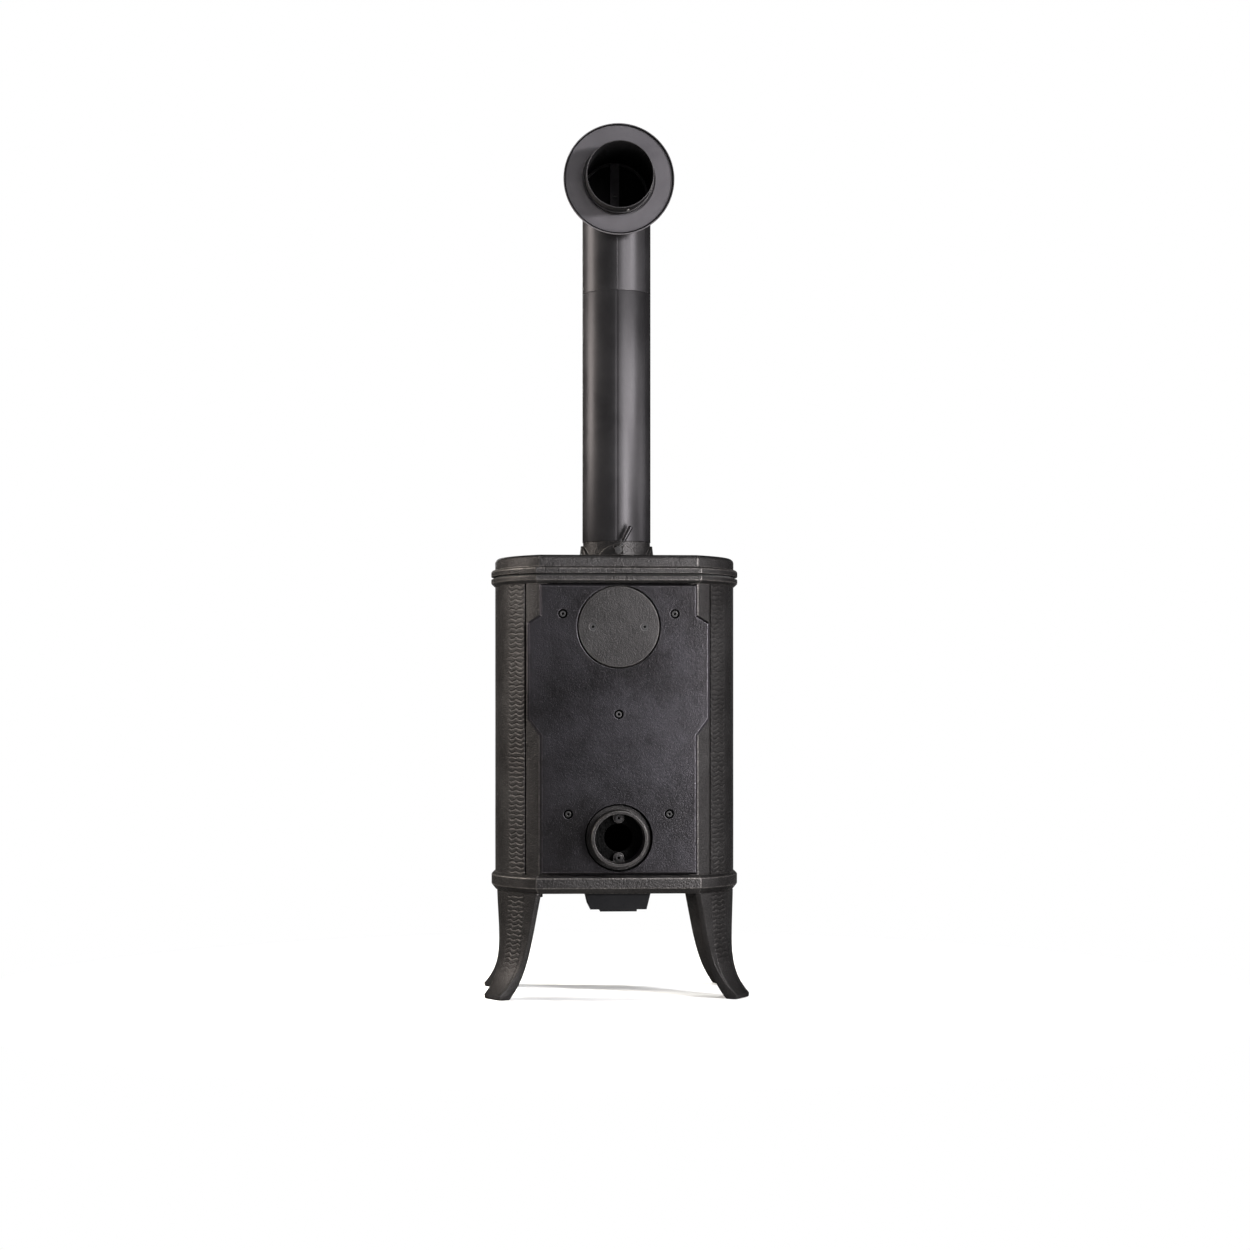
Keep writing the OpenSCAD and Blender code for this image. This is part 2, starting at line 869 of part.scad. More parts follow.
module rear_wall() color([0.16, 0.15, 0.16])
    difference() {
        union() {
            translate([0, 0, panel_low])
                linear_extrude(panel_h) {
                    corner_strips(1);
                    intersection() {
                        plan(-cast_t / 2);
                        translate([-body_w, wall_in_y]) square([2 * body_w, wall_t]);
                    }
                }
            for (place = shield_screw_places)
                facing_rear(place[0], wall_rear_y - cut, place[1])
                    cylinder(r = shield_boss_r, h = shield_gap + cut);
            facing_rear(0, wall_rear_y - cut, outlet_z)
                cylinder(r = outlet_ring_r, h = shield_gap + cut);
            bed_ledges(wall_in_y - ledge_reach, wall_in_y + cut, duct_half + rib_half_w);
        }
        for (place = shield_screw_places)
            facing_rear(place[0], wall_in_y, place[1])
                hole(shield_screw_r + thread_gap, wall_t + shield_gap);
        facing_rear(0, wall_in_y, outlet_z) hole(outlet_r, wall_t + shield_gap);
        facing_rear(0, wall_in_y, inlet_z) hole(air_hole_r, wall_t);
        for (z = [-inlet_lug_off, inlet_lug_off])
            facing_rear(0, wall_in_y, inlet_z + z) hole(inlet_screw_r + thread_gap, wall_t);
    }

// Ledges that carry the firebed plate on an end wall
module bed_ledges(y_low, y_high, x_in) {
    for (side = [-1, 1])
        block([side > 0 ? x_in : -x_in - ledge_w, y_low, bed_low - ledge_t],
              [side > 0 ? x_in + ledge_w : -x_in, y_high, bed_low]);
}

module rear_shield() color([0.24, 0.22, 0.25]) {
    narrow = corner_x - shield_margin;
    wide = corner_x + shield_overhang;
    inner = 2 * narrow - wide;
    low = panel_low + shield_end_gap;
    high = panel_high - shield_end_gap;
    rim_y = mid_y + sqrt(sq(side_r) - sq(wide - side_off));
    difference() {
        union() {
            facing_rear(0, rear_y, 0) {
                bevel_plate([[-narrow, low], [narrow, low], [narrow, high], [-narrow, high]],
                            shield_t, shield_bevel);
                bevel_plate([
                    [-wide, wide_low_z], [-inner, wide_low_z - 2 * wide_low_run],
                    [inner, wide_low_z - 2 * wide_low_run], [wide, wide_low_z],
                    [wide, wide_top_z], [inner, wide_top_z + 2 * wide_top_run],
                    [-inner, wide_top_z + 2 * wide_top_run], [-wide, wide_top_z]
                ], shield_t, shield_bevel);
            }
            for (side = [-1, 1])
                mirror([side < 0 ? 1 : 0, 0, 0])
                    difference() {
                        block([wide - shield_rim_t, rim_y, wide_low_z],
                              [wide, rear_y + (shield_t - shield_bevel) / 2, wide_top_z]);
                        translate([side_off, mid_y, wide_low_z])
                            hole(side_r + shield_rim_gap, wide_top_z - wide_low_z);
                    }
        }
        for (place = shield_screw_places)
            facing_rear(place[0], rear_y, place[1]) {
                hole(shield_screw_r + bolt_gap, shield_t);
                translate([0, 0, shield_floor_t])
                    cylinder(r = shield_recess_r, h = shield_t);
            }
        facing_rear(0, rear_y, outlet_z) hole(cover_hole_r, shield_t);
        facing_rear(0, rear_y, inlet_z) hole(inlet_hole_r, shield_t);
    }
}

module shield_screws() color([0.25, 0.25, 0.26])
    for (place = shield_screw_places)
        facing_rear(place[0], rear_y + shield_floor_t, place[1])
            cap_screw(shield_screw_r, shield_floor_t + shield_gap + wall_t, shield_head_r,
                      shield_head_h, shield_socket_r);

module flue_cover() color([0.2, 0.19, 0.2])
    facing_rear(0, rear_y, outlet_z)
        difference() {
            union() {
                cylinder(r = cover_r, h = cover_t - cover_bevel);
                translate([0, 0, cover_t - cover_bevel])
                    cylinder(r1 = cover_r, r2 = cover_r - cover_bevel, h = cover_bevel);
            }
            for (x = [-cover_screw_x, cover_screw_x])
                translate([x, 0, 0]) {
                    hole(cover_screw_r + bolt_gap, cover_t);
                    translate([0, 0, cover_t - cover_head_h])
                        cylinder(r1 = cover_screw_r + bolt_gap, r2 = cover_head_r + bolt_gap,
                                 h = cover_head_h + cone_over);
                }
        }

module cover_screws() color([0.3, 0.3, 0.31])
    for (x = [-cover_screw_x, cover_screw_x])
        facing_rear(x, rear_y + cover_t - cover_head_h, outlet_z)
            difference() {
                union() {
                    cylinder(r1 = cover_screw_r, r2 = cover_head_r, h = cover_head_h);
                    shank = cover_t - cover_head_h + shield_gap + wall_t + bridge_t;
                    translate([0, 0, -shank]) cylinder(r = cover_screw_r, h = shank);
                }
                translate([0, 0, cover_head_h / 2])
                    cylinder(r = shield_socket_r, h = cover_head_h, $fn = 6);
            }

module cover_bridge() color([0.28, 0.27, 0.27])
    difference() {
        block([-bridge_half, wall_in_y - bridge_t, outlet_z - bridge_half_h],
              [bridge_half, wall_in_y, outlet_z + bridge_half_h]);
        for (x = [-cover_screw_x, cover_screw_x])
            facing_rear(x, wall_in_y - bridge_t, outlet_z) hole(cover_screw_r + thread_gap, bridge_t);
    }

// Air inlet

module air_inlet_spigot() color([0.18, 0.17, 0.17]) {
    l = shield_gap + inlet_reach;
    facing_rear(0, wall_rear_y, inlet_z)
        difference() {
            union() {
                rotate_extrude()
                    polygon([
                        [inlet_bore_r - inlet_seat_step, 0], [inlet_flange_r, 0],
                        [inlet_flange_r, inlet_flange_t], [inlet_out_r, inlet_flange_t],
                        [inlet_out_r, l - inlet_rim_bevel], [inlet_out_r - inlet_rim_bevel, l],
                        [inlet_bore_r, l], [inlet_bore_r, inlet_seat],
                        [inlet_bore_r - inlet_seat_step, inlet_seat]
                    ]);
                for (side = [-1, 1])
                    linear_extrude(inlet_lug_t)
                        intersection() {
                            circle(r = inlet_bore_r + inlet_wall / 2);
                            union() {
                                translate([0, side * inlet_lug_off]) circle(r = inlet_lug_r);
                                translate([-inlet_lug_r, side > 0 ? inlet_lug_off : -inlet_out_r])
                                    square([2 * inlet_lug_r, inlet_out_r - inlet_lug_off]);
                            }
                        }
            }
            for (side = [-1, 1])
                translate([0, side * inlet_lug_off, 0]) hole(inlet_screw_r + bolt_gap, inlet_lug_t);
        }
}

module air_inlet_screws() color([0.3, 0.3, 0.31])
    for (side = [-1, 1])
        facing_rear(0, wall_rear_y + inlet_lug_t, inlet_z + side * inlet_lug_off) {
            cylinder(r = inlet_washer_r, h = inlet_washer_t);
            translate([0, 0, inlet_washer_t])
                cap_screw(inlet_screw_r, inlet_washer_t + inlet_lug_t + wall_t, inlet_head_r,
                          inlet_head_h, shield_socket_r);
        }

module air_duct() color([0.15, 0.15, 0.15])
    difference() {
        block([-duct_half, duct_y, panel_low], [duct_half, wall_in_y, panel_low + duct_up]);
        block([-duct_half + duct_wall, duct_y + duct_wall, panel_low - cut],
              [duct_half - duct_wall, wall_in_y + cut, panel_low + duct_up - duct_wall]);
    }

// Air box: a folded steel box under the base whose foot steps in to a narrow lip
module air_box_outline(shrink) {
    low = leg_h - box_low_drop + shrink;
    polygon([
        [shrink - box_top_half, pocket_z], [shrink - box_top_half, leg_h],
        [shrink - box_low_half, low], [shrink - box_lip_half, low],
        [shrink - box_lip_half, low - box_lip_drop], [box_lip_half - shrink, low - box_lip_drop],
        [box_lip_half - shrink, low], [box_low_half - shrink, low],
        [box_top_half - shrink, leg_h], [box_top_half - shrink, pocket_z]
    ]);
}

module air_box() color([0.1, 0.1, 0.1])
    difference() {
        union() {
            difference() {
                facing_front(0, box_rear_y, 0)
                    linear_extrude(box_rear_y - box_front_y) air_box_outline(0);
                facing_front(0, box_rear_y - box_wall, 0)
                    linear_extrude(box_rear_y - box_front_y - 2 * box_wall)
                        air_box_outline(box_wall);
                block([-box_top_half + box_wall, box_front_y + box_wall, leg_h],
                      [box_top_half - box_wall, box_rear_y - box_wall, pocket_z + cut]);
            }
            for (side = [-1, 1])
                mirror([side < 0 ? 1 : 0, 0, 0])
                    block([valve_half - rail_w, box_front_y + box_wall - cut,
                           pocket_z - valve_t - 2 * move_gap - rail_t],
                          [box_top_half - box_wall + cut, valve_slot_rear_y,
                           pocket_z - valve_t - 2 * move_gap]);
        }
        facing_front(0, box_front_y + box_wall, air_rod_z) hole(air_rod_r + fit_gap, box_wall);
    }

// Front casting

// Box in the plane of the front, given in widths, heights and distances out from it
module front_block(x_low, x_high, z_low, z_high, in_depth, out_depth) {
    block([x_low, front_y - out_depth, z_low], [x_high, front_y + in_depth, z_high]);
}

module front_frame() color([0.2, 0.19, 0.19]) {
    tongue_in = lip_tongue_x - lip_tongue_half - move_gap;
    tongue_out = lip_tongue_x + lip_tongue_half + move_gap;
    guide_out = airwash_t + 2 * move_gap + guide_t;
    guide_half = airwash_half + airwash_travel + guide_w;
    difference() {
        union() {
            translate([0, 0, panel_low])
                linear_extrude(panel_h) {
                    corner_strips(-1);
                    intersection() {
                        plan(-cast_t / 2);
                        translate([-body_w, front_y]) square([2 * body_w, front_t]);
                    }
                }
            bed_ledges(front_y + front_t - cut, front_y + front_t + ledge_reach, duct_half + rib_half_w);
            for (low = hinge_lows, up = [0, hinge_h - hinge_lug_h]) {
                translate([hinge_x, hinge_y, low + up]) cylinder(r = hinge_r, h = hinge_lug_h);
                block([hinge_x - hinge_r, hinge_y, low + up],
                      [hinge_x + hinge_r, front_y + cut, low + up + hinge_lug_h]);
            }
            for (low = [airwash_low - move_gap - guide_w, airwash_low + airwash_h + move_gap])
                front_block(-guide_half, guide_half, low, low + guide_w, cut, guide_out);
            for (low = [airwash_low - move_gap - guide_w, airwash_low + airwash_h - guide_lap])
                front_block(-guide_half, guide_half, low, low + guide_w + move_gap + guide_lap,
                            guide_t - guide_out, guide_out);
        }
        facing_front(0, front_y + front_t + cut, 0)
            linear_extrude(front_t + 2 * cut)
                round_rect(opening_half, opening_low, opening_high, opening_round);
        front_block(-drawer_half, drawer_half, drawer_low, drawer_high, front_t + cut, cut);
        for (side = [-1, 1])
            front_block(side > 0 ? tongue_in : -tongue_out, side > 0 ? tongue_out : -tongue_in,
                        panel_low - cut, panel_low + lip_tongue_h + move_gap, front_t + cut, cut);
        airwash_slot_row(front_y + front_t + cut, front_t + 2 * cut);
        for (low = hinge_lows)
            translate([hinge_x, hinge_y, low]) hole(hinge_pin_r + thread_gap, hinge_h);
        keeper_pins(keeper_screw_r + thread_gap, front_t + cut);
    }
}

// Row of slots that the airwash slider opens and closes
module airwash_slot_row(y, l) {
    for (i = [0 : airwash_slots - 1])
        facing_front((i - (airwash_slots - 1) / 2) * airwash_pitch, y, airwash_low + airwash_h / 2)
            linear_extrude(l)
                square([2 * airwash_slot_half_w, 2 * airwash_slot_half_h], center = true);
}

module airwash_slider() color([0.45, 0.45, 0.46])
    difference() {
        front_block(-airwash_half, airwash_half, airwash_low, airwash_low + airwash_h,
                    -move_gap, move_gap + airwash_t);
        translate([-airwash_travel, 0, 0])
            airwash_slot_row(front_y, move_gap + airwash_t + cut);
    }

module airwash_knob() color([0.45, 0.45, 0.46])
    facing_front(0, front_y - move_gap - airwash_t, airwash_low + airwash_h / 2) {
        cylinder(r = airwash_stem_r, h = airwash_stem_l);
        translate([0, 0, airwash_stem_l]) cylinder(r = airwash_knob_r, h = airwash_knob_l);
    }

// Top

module top_frame() color([0.21, 0.2, 0.2])
    difference() {
        union() {
            band(panel_high, ring_chamfer, flange_proud - ring_chamfer_in, flange_proud,
                 face_proud - face_top_inset, face_proud);
            translate([0, 0, panel_high + ring_chamfer])
                linear_extrude(top_frame_h - ring_chamfer) plan(flange_proud, face_proud);
            core(panel_high, ring_high);
        }
        translate([0, 0, panel_high - cut])
            linear_extrude(top_frame_h + 2 * cut) plan(-ring_opening, -ring_opening);
    }

module top_gasket() color([0.08, 0.08, 0.08])
    translate([0, 0, ring_high])
        linear_extrude(gasket_gap)
            difference() {
                plan(-gasket_out, -gasket_out);
                plan(-gasket_out - gasket_w, -gasket_out - gasket_w);
            }

module top_plate() color([0.2, 0.19, 0.19]) {
    pocket_top = deck_z - plate_t;
    mid_h = deck_round * deck_mid_share;
    mid_in = deck_round_in * deck_mid_in_share;
    difference() {
        union() {
            translate([0, 0, plate_low])
                linear_extrude(flange_h - ledge_bevel) plan(flange_proud, face_proud);
            band(flange_high - ledge_bevel, ledge_bevel, flange_proud, flange_proud - ledge_in,
                 face_proud, face_proud - ledge_in);
            translate([0, 0, flange_high - cut])
                linear_extrude(deck_h - deck_round + cut) plan();
            band(deck_z - deck_round, deck_round - mid_h, 0, -mid_in, 0, -mid_in);
            band(deck_z - mid_h, mid_h, -mid_in, -deck_round_in, -mid_in, -deck_round_in);
            core(plate_low, deck_z);
        }
        difference() {
            translate([0, 0, plate_low - cut])
                linear_extrude(pocket_top - plate_low + cut) plan(-plate_rim_t, -plate_rim_t);
            rod_places()
                translate([0, 0, plate_low]) cylinder(r = rod_boss_r, h = deck_h + flange_h);
        }
        rod_places()
            translate([0, 0, plate_low]) hole(rod_r + thread_gap, rod_grip);
        translate([0, flue_y, plate_low])
            cylinder(r = flue_hole_r, h = deck_z - plate_low + cut);
        for (x = [-collar_bolt_circle_r, collar_bolt_circle_r])
            translate([x, flue_y, plate_low])
                cylinder(r = collar_bolt_r + bolt_gap, h = deck_z - plate_low + cut);
    }
}

module tie_rods() color([0.35, 0.35, 0.36])
    rod_places() {
        low = pocket_z - rod_nut_h - rod_tail;
        translate([0, 0, low]) cylinder(r = rod_r, h = plate_low + rod_grip - low);
        translate([0, 0, pocket_z - rod_nut_h]) cylinder(r = rod_nut_r, h = rod_nut_h, $fn = 6);
    }

// Flue collar and damper

module flue_collar() color([0.19, 0.18, 0.18])
    difference() {
        union() {
            translate([0, flue_y, 0])
                rotate_extrude()
                    polygon([
                        [collar_bore_r, deck_z], [neck_r, deck_z], [neck_r, neck_z],
                        [spigot_r, neck_z], [spigot_r, neck_z + spigot_l], [collar_bore_r, neck_z + spigot_l]
                    ]);
            difference() {
                for (turn = [0 : 90 : 270])
                    intersection() {
                        translate([0, flue_y, deck_z])
                            cylinder(r1 = lug_low_r, r2 = lug_high_r, h = lug_rise);
                        translate([0, flue_y, deck_z + lug_rise - lug_arch_r])
                            rotate([0, 90, turn]) cylinder(r = lug_arch_r, h = 2 * lug_low_r);
                    }
                translate([0, flue_y, deck_z]) hole((collar_bore_r + neck_r) / 2, lug_rise);
            }
        }
        facing_rear(0, flue_y - spindle_front, damper_z)
            cylinder(r = spindle_r + fit_gap, h = spindle_front + 2 * lug_low_r);
        block([-pocket_half_w, flue_y + neck_r, damper_z - pocket_h / 2 + cut],
              [pocket_half_w, flue_y + 2 * lug_low_r, damper_z + pocket_h / 2 - cut]);
        for (x = [-collar_bolt_circle_r, collar_bolt_circle_r])
            translate([x, flue_y, deck_z]) hole(collar_bolt_r + thread_gap, collar_bolt_depth);
    }

module collar_bolts() color([0.3, 0.3, 0.31])
    for (x = [-collar_bolt_circle_r, collar_bolt_circle_r])
        translate([x, flue_y, deck_z - plate_t])
            hex_bolt(collar_bolt_r, plate_t + collar_bolt_depth, collar_head_r, collar_head_h);

module damper_spindle() color([0.4, 0.4, 0.41])
    facing_rear(0, flue_y - spindle_front + move_gap, damper_z)
        cylinder(r = spindle_r, h = spindle_front - move_gap + lever_y + lever_hub_half + cut - flue_y);

// Turns a shape drawn upright at the spindle to the lever's lean
module damper_place(y) {
    translate([0, y, damper_z]) rotate([0, -damper_lean, 0]) children();
}

module damper_blade() color([0.2, 0.2, 0.2])
    damper_place(flue_y)
        difference() {
            union() {
                rotate([0, 90, 0]) cylinder(r = blade_r, h = blade_t, center = true);
                rotate([90, 0, 0]) cylinder(r = blade_hub_r, h = 2 * blade_hub_half, center = true);
            }
            rotate([90, 0, 0])
                cylinder(r = spindle_r + thread_gap, h = 2 * (blade_r + cut), center = true);
        }

module damper_lever() color([0.4, 0.4, 0.41])
    damper_place(lever_y)
        difference() {
            union() {
                rotate([90, 0, 0]) cylinder(r = lever_hub_r, h = 2 * lever_hub_half, center = true);
                cylinder(r = lever_rod_r, h = lever_rod_l);
            }
            rotate([90, 0, 0])
                cylinder(r = spindle_r + thread_gap, h = 2 * lever_hub_r, center = true);
        }

module damper_grip() color([0.5, 0.5, 0.5])
    damper_place(lever_y)
        difference() {
            translate([0, 0, grip_start]) cylinder(r = grip_r, h = grip_l);
            translate([0, 0, grip_start]) hole(lever_rod_r + thread_gap, lever_rod_l - grip_start);
        }

// Flue pipe, elbow, clean-out and rosette

module flue_pipe() color([0.2, 0.2, 0.2])
    translate([0, flue_y, 0])
        rotate_extrude()
            polygon([
                [pipe_bore_r, neck_z], [pipe_r, neck_z], [pipe_r, pipe_top],
                [spigot_r, pipe_top], [spigot_r, pipe_top + male_l],
                [spigot_r - pipe_wall, pipe_top + male_l], [spigot_r - pipe_wall, pipe_top - pipe_wall],
                [pipe_bore_r, pipe_top - pipe_wall]
            ]);

module flue_elbow() color([0.2, 0.2, 0.2]) {
    tee_l = tee_rear_y - tee_front_y;
    all_l = rear_y + flue_reach - tee_front_y;
    difference() {
        union() {
            translate([0, flue_y, pipe_top]) cylinder(r = pipe_r, h = elbow_rise);
            facing_rear(0, tee_front_y, flue_z) {
                cylinder(r = tee_r, h = tee_l);
                cylinder(r = pipe_r, h = root_end_y - tee_front_y);
                cylinder(r = male_r, h = all_l);
            }
        }
        translate([0, flue_y, pipe_top - cut]) cylinder(r = pipe_bore_r, h = elbow_rise + cut);
        facing_rear(0, tee_front_y, flue_z)
            rotate_extrude()
                polygon([
                    [0, -cut], [tee_bore_r, -cut], [tee_bore_r, bead_back],
                    [bead_in_r, bead_back], [bead_in_r, bead_back + bead_t],
                    [tee_bore_r, bead_back + bead_t], [tee_bore_r, tee_l - pipe_wall],
                    [male_bore_r, tee_l - pipe_wall], [male_bore_r, all_l + cut], [0, all_l + cut]
                ]);
    }
}

module cleanout_cover() color([0.22, 0.22, 0.22])
    facing_front(0, tee_front_y + bead_back - cut, flue_z)
        difference() {
            union() {
                cylinder(r = tee_bore_r - move_gap, h = bead_back - cut);
                translate([0, 0, bead_back - cut])
                    cylinder(r = tee_r + cover_plate_over, h = cover_plate_t);
            }
            hole(cleanout_screw_r + fit_gap, bead_back + cover_plate_t);
        }

module cleanout_strap() color([0.25, 0.25, 0.25])
    difference() {
        block([-strap_half_w, tee_front_y + bead_back + bead_t, flue_z - strap_half],
              [strap_half_w, tee_front_y + bead_back + bead_t + strap_t, flue_z + strap_half]);
        facing_rear(0, tee_front_y + bead_back + bead_t, flue_z)
            hole(cleanout_screw_r + fit_gap, strap_t);
    }

module cleanout_knob() color([0.3, 0.3, 0.3])
    facing_front(0, tee_front_y - cover_plate_t - move_gap, flue_z) {
        cylinder(r = cleanout_knob_r, h = cleanout_knob_l);
        tail = bead_back + bead_t + strap_t + cleanout_tail + cover_plate_t;
        translate([0, 0, -tail]) cylinder(r = cleanout_screw_r, h = tail);
    }

module wall_rosette() color([0.45, 0.44, 0.45]) {
    bore = pipe_r + fit_gap;
    facing_rear(0, rosette_y, flue_z)
        rotate_extrude()
            polygon([
                [bore, -rosette_collar_l], [bore + rosette_t, -rosette_collar_l],
                [bore + rosette_t, -rosette_collar_back], [rosette_ring_r, -rosette_collar_back],
                [rosette_ring_r, 0], [rosette_r, 0], [rosette_r, rosette_rim + rosette_t],
                [rosette_r - rosette_t, rosette_rim + rosette_t], [rosette_r - rosette_t, rosette_t],
                [rosette_ring_r - rosette_t, rosette_t],
                [rosette_ring_r - rosette_t, rosette_t - rosette_collar_back],
                [bore, rosette_t - rosette_collar_back]
            ]);
}

// Linings and fire bed

module rear_burn_plate() color([0.75, 0.68, 0.55])
    block([-rear_burn_half, duct_y - rear_burn_t, bed_z], [rear_burn_half, duct_y, bed_z + burn_h]);

module side_burn_plate_left() color([0.75, 0.68, 0.55])
    round_wall(-1, burn_r, burn_r + burn_t, burn_half_angle, bed_z, burn_h);

module side_burn_plate_right() color([0.75, 0.68, 0.55])
    round_wall(1, burn_r, burn_r + burn_t, burn_half_angle, bed_z, burn_h);

module baffle_plate() color([0.75, 0.68, 0.55])
    translate([0, 0, bed_z + burn_h])
        linear_extrude(baffle_t)
            intersection() {
                plan(-baffle_in);
                translate([-body_w, front_y + baffle_front_gap])
                    square([2 * body_w, duct_y - front_y - baffle_front_gap]);
            }

module firebed_plate() color([0.22, 0.2, 0.2]) {
    seat = grate_half + grate_lap;
    bed_front_y = front_y + front_t + bed_gap;
    difference() {
        translate([0, 0, bed_low])
            linear_extrude(bed_t)
                intersection() {
                    plan(-bed_in);
                    translate([-body_w, bed_front_y])
                        square([2 * body_w, wall_in_y - bed_gap - bed_front_y]);
                }
        block([-duct_half - bed_gap, duct_y - bed_gap, bed_low - cut],
              [duct_half + bed_gap, rear_y, bed_z + cut]);
        block([-grate_half, grate_y - grate_half, bed_low - cut],
              [grate_half, grate_y + grate_half, bed_z + cut]);
        block([-seat, grate_y - seat, bed_z - grate_t], [seat, grate_y + seat, bed_z + cut]);
        rod_places()
            translate([0, 0, bed_low]) hole(rod_r + bed_gap, bed_t);
    }
}

// Plate with a row of equal slots between its rims, drawn in a plane
module slotted(half_w, half_l, rim, slots, slot_w) {
    pitch = (2 * (half_w - rim) + slot_w) / slots;
    difference() {
        square([2 * half_w, 2 * half_l], center = true);
        for (i = [0 : slots - 1])
            translate([(i - (slots - 1) / 2) * pitch, 0])
                square([slot_w, 2 * (half_l - rim)], center = true);
    }
}

module fire_grate() color([0.25, 0.22, 0.2]) {
    half = grate_half + grate_lap - grate_gap;
    translate([0, grate_y, bed_z - grate_t])
        linear_extrude(grate_t) slotted(half, half, grate_rim, grate_slots, grate_slot_w);
}

module log_guard() color([0.22, 0.2, 0.2]) {
    slot_w = 2 * guard_half / guard_slots * guard_slot_share;
    facing_front(0, guard_y + guard_t, bed_z + guard_h / 2)
        linear_extrude(guard_t) slotted(guard_half, guard_h / 2, guard_rim, guard_slots, slot_w);
}

// Ash drawer and shelf

module ash_pan() color([0.35, 0.35, 0.35]) {
    low = drawer_low + move_gap;
    difference() {
        block([-pan_half, front_y - move_gap, low], [pan_half, pan_back_y, low + pan_h]);
        block([pan_wall - pan_half, front_y - move_gap + pan_wall, low + pan_wall],
              [pan_half - pan_wall, pan_back_y - pan_wall, low + pan_h + cut]);
    }
}

module ash_pan_front() color([0.2, 0.19, 0.19])
    facing_front(0, front_y - move_gap, 0)
        bevel_block(pan_front_half, pan_front_low, drawer_high + pan_front_over,
                    pan_front_t, pan_front_bevel);

module ash_pan_knob() color([0.5, 0.5, 0.5])
    facing_front(0, front_y - move_gap - pan_front_t, (drawer_low + drawer_high) / 2) {
        cylinder(r = knob_stem_r, h = knob_stem_l);
        translate([0, 0, knob_stem_l])
            cylinder(r1 = knob_stem_r + cut, r2 = knob_r, h = knob_l / 2);
        translate([0, 0, knob_stem_l + knob_l / 2]) cylinder(r = knob_r, h = knob_l / 2);
    }

module ash_lip() color([0.2, 0.19, 0.19]) {
    out_y = front_y - lip_shelf_reach;
    translate([0, 0, panel_low])
        linear_extrude(lip_shelf_t)
            intersection() {
                round_rect(lip_shelf_half, out_y, front_y + lip_shelf_round, lip_shelf_round);
                translate([-body_w, out_y]) square([2 * body_w, lip_shelf_reach]);
            }
    block([lip_shelf_round - lip_shelf_half, out_y, panel_low - lip_rim_h],
          [lip_shelf_half - lip_shelf_round, out_y + lip_rim_t, panel_low + cut]);
    for (x = [-lip_tongue_x, lip_tongue_x])
        block([x - lip_tongue_half, front_y - cut, panel_low],
              [x + lip_tongue_half, front_y + front_t, panel_low + lip_tongue_h]);
}

// Primary air slide

module primary_air_slide() color([0.3, 0.3, 0.3]) {
    rear = valve_slot_rear_y + valve_lap;
    front = valve_slot_rear_y - valve_slot_l - valve_lap;
    top = pocket_z - move_gap;
    lug_half = air_rod_r + valve_lap;
    difference() {
        union() {
            block([-valve_half, front, top - valve_t], [valve_half, rear, top]);
            block([-lug_half, front, air_rod_z - lug_half], [lug_half, front + air_lug_t, top - cut]);
        }
        facing_front(0, front + air_lug_t, air_rod_z) hole(air_rod_r + thread_gap, air_lug_t);
    }
}

module primary_air_rod() color([0.45, 0.45, 0.46]) {
    rear = valve_slot_rear_y - valve_slot_l - valve_lap + air_lug_t;
    front = front_y - face_proud - air_knob_out;
    facing_front(0, rear, air_rod_z) cylinder(r = air_rod_r, h = rear - front + cut);
    facing_front(0, front, air_rod_z) {
        cylinder(r1 = air_rod_r + cut, r2 = air_knob_r, h = air_collar_l);
        translate([0, 0, air_collar_l]) cylinder(r = air_knob_r, h = air_knob_l - air_collar_l);
    }
}

// Door

module door_frame() color([0.2, 0.19, 0.19]) {
    glass_half = window_half + glass_over + glass_gap;
    rope_out = door_half - rope_in;
    difference() {
        union() {
            facing_front(0, door_rear_y, 0) {
                bevel_block(door_half, door_low, door_high, door_t, door_bevel);
                translate([0, 0, door_t - cut])
                    linear_extrude(bead_h + cut)
                        round_rect(window_half + bead_out, window_low - bead_out,
                                   window_high + bead_out, window_round + bead_out);
                translate([handle_x, handle_z, door_t - cut])
                    cylinder(r = shaft_boss_r, h = bead_h + cut);
            }
            for (low = hinge_lows)
                translate([0, 0, low + hinge_lug_h + move_gap]) {
                    translate([hinge_x, hinge_y, 0]) cylinder(r = hinge_r, h = hinge_knuckle_h);
                    translate([hinge_x, hinge_y - hinge_pin_r, 0])
                        cube([2 * hinge_r, 2 * hinge_pin_r, hinge_knuckle_h]);
                }
        }
        facing_front(0, door_rear_y, 0) {
            translate([0, 0, -cut])
                linear_extrude(door_t + bead_h + 2 * cut)
                    round_rect(window_half, window_low, window_high, window_round);
            translate([0, 0, -cut])
                linear_extrude(glass_pocket + cut)
                    round_rect(glass_half, window_low - glass_over - glass_gap,
                               window_high + glass_over + glass_gap, window_round);
            translate([0, 0, -cut]) linear_extrude(rope_groove + cut) rope_outline();
            translate([handle_x, handle_z, 0]) hole(shaft_r + fit_gap, door_t + bead_h);
            clip_places() {
                translate([0, -clip_half_w - glass_gap, -cut])
                    cube([clip_reach, 2 * (clip_half_w + glass_gap), glass_pocket - glass_t + cut]);
                translate([clip_reach / 2 + clip_screw_r, 0, 0])
                    cylinder(r = clip_screw_r + thread_gap, h = glass_pocket + clip_screw_l);
            }
        }
        for (low = hinge_lows)
            translate([hinge_x, hinge_y, low]) cylinder(r = hinge_pin_r + fit_gap, h = hinge_h);
    }
}

// Outline of the sealing rope on the door's back
module rope_outline() {
    difference() {
        round_rect(door_half - rope_in, door_low + rope_in, door_high - rope_in, rope_w);
        round_rect(door_half - rope_in - rope_w, door_low + rope_in + rope_w,
                   door_high - rope_in - rope_w, rope_w / 2);
    }
}

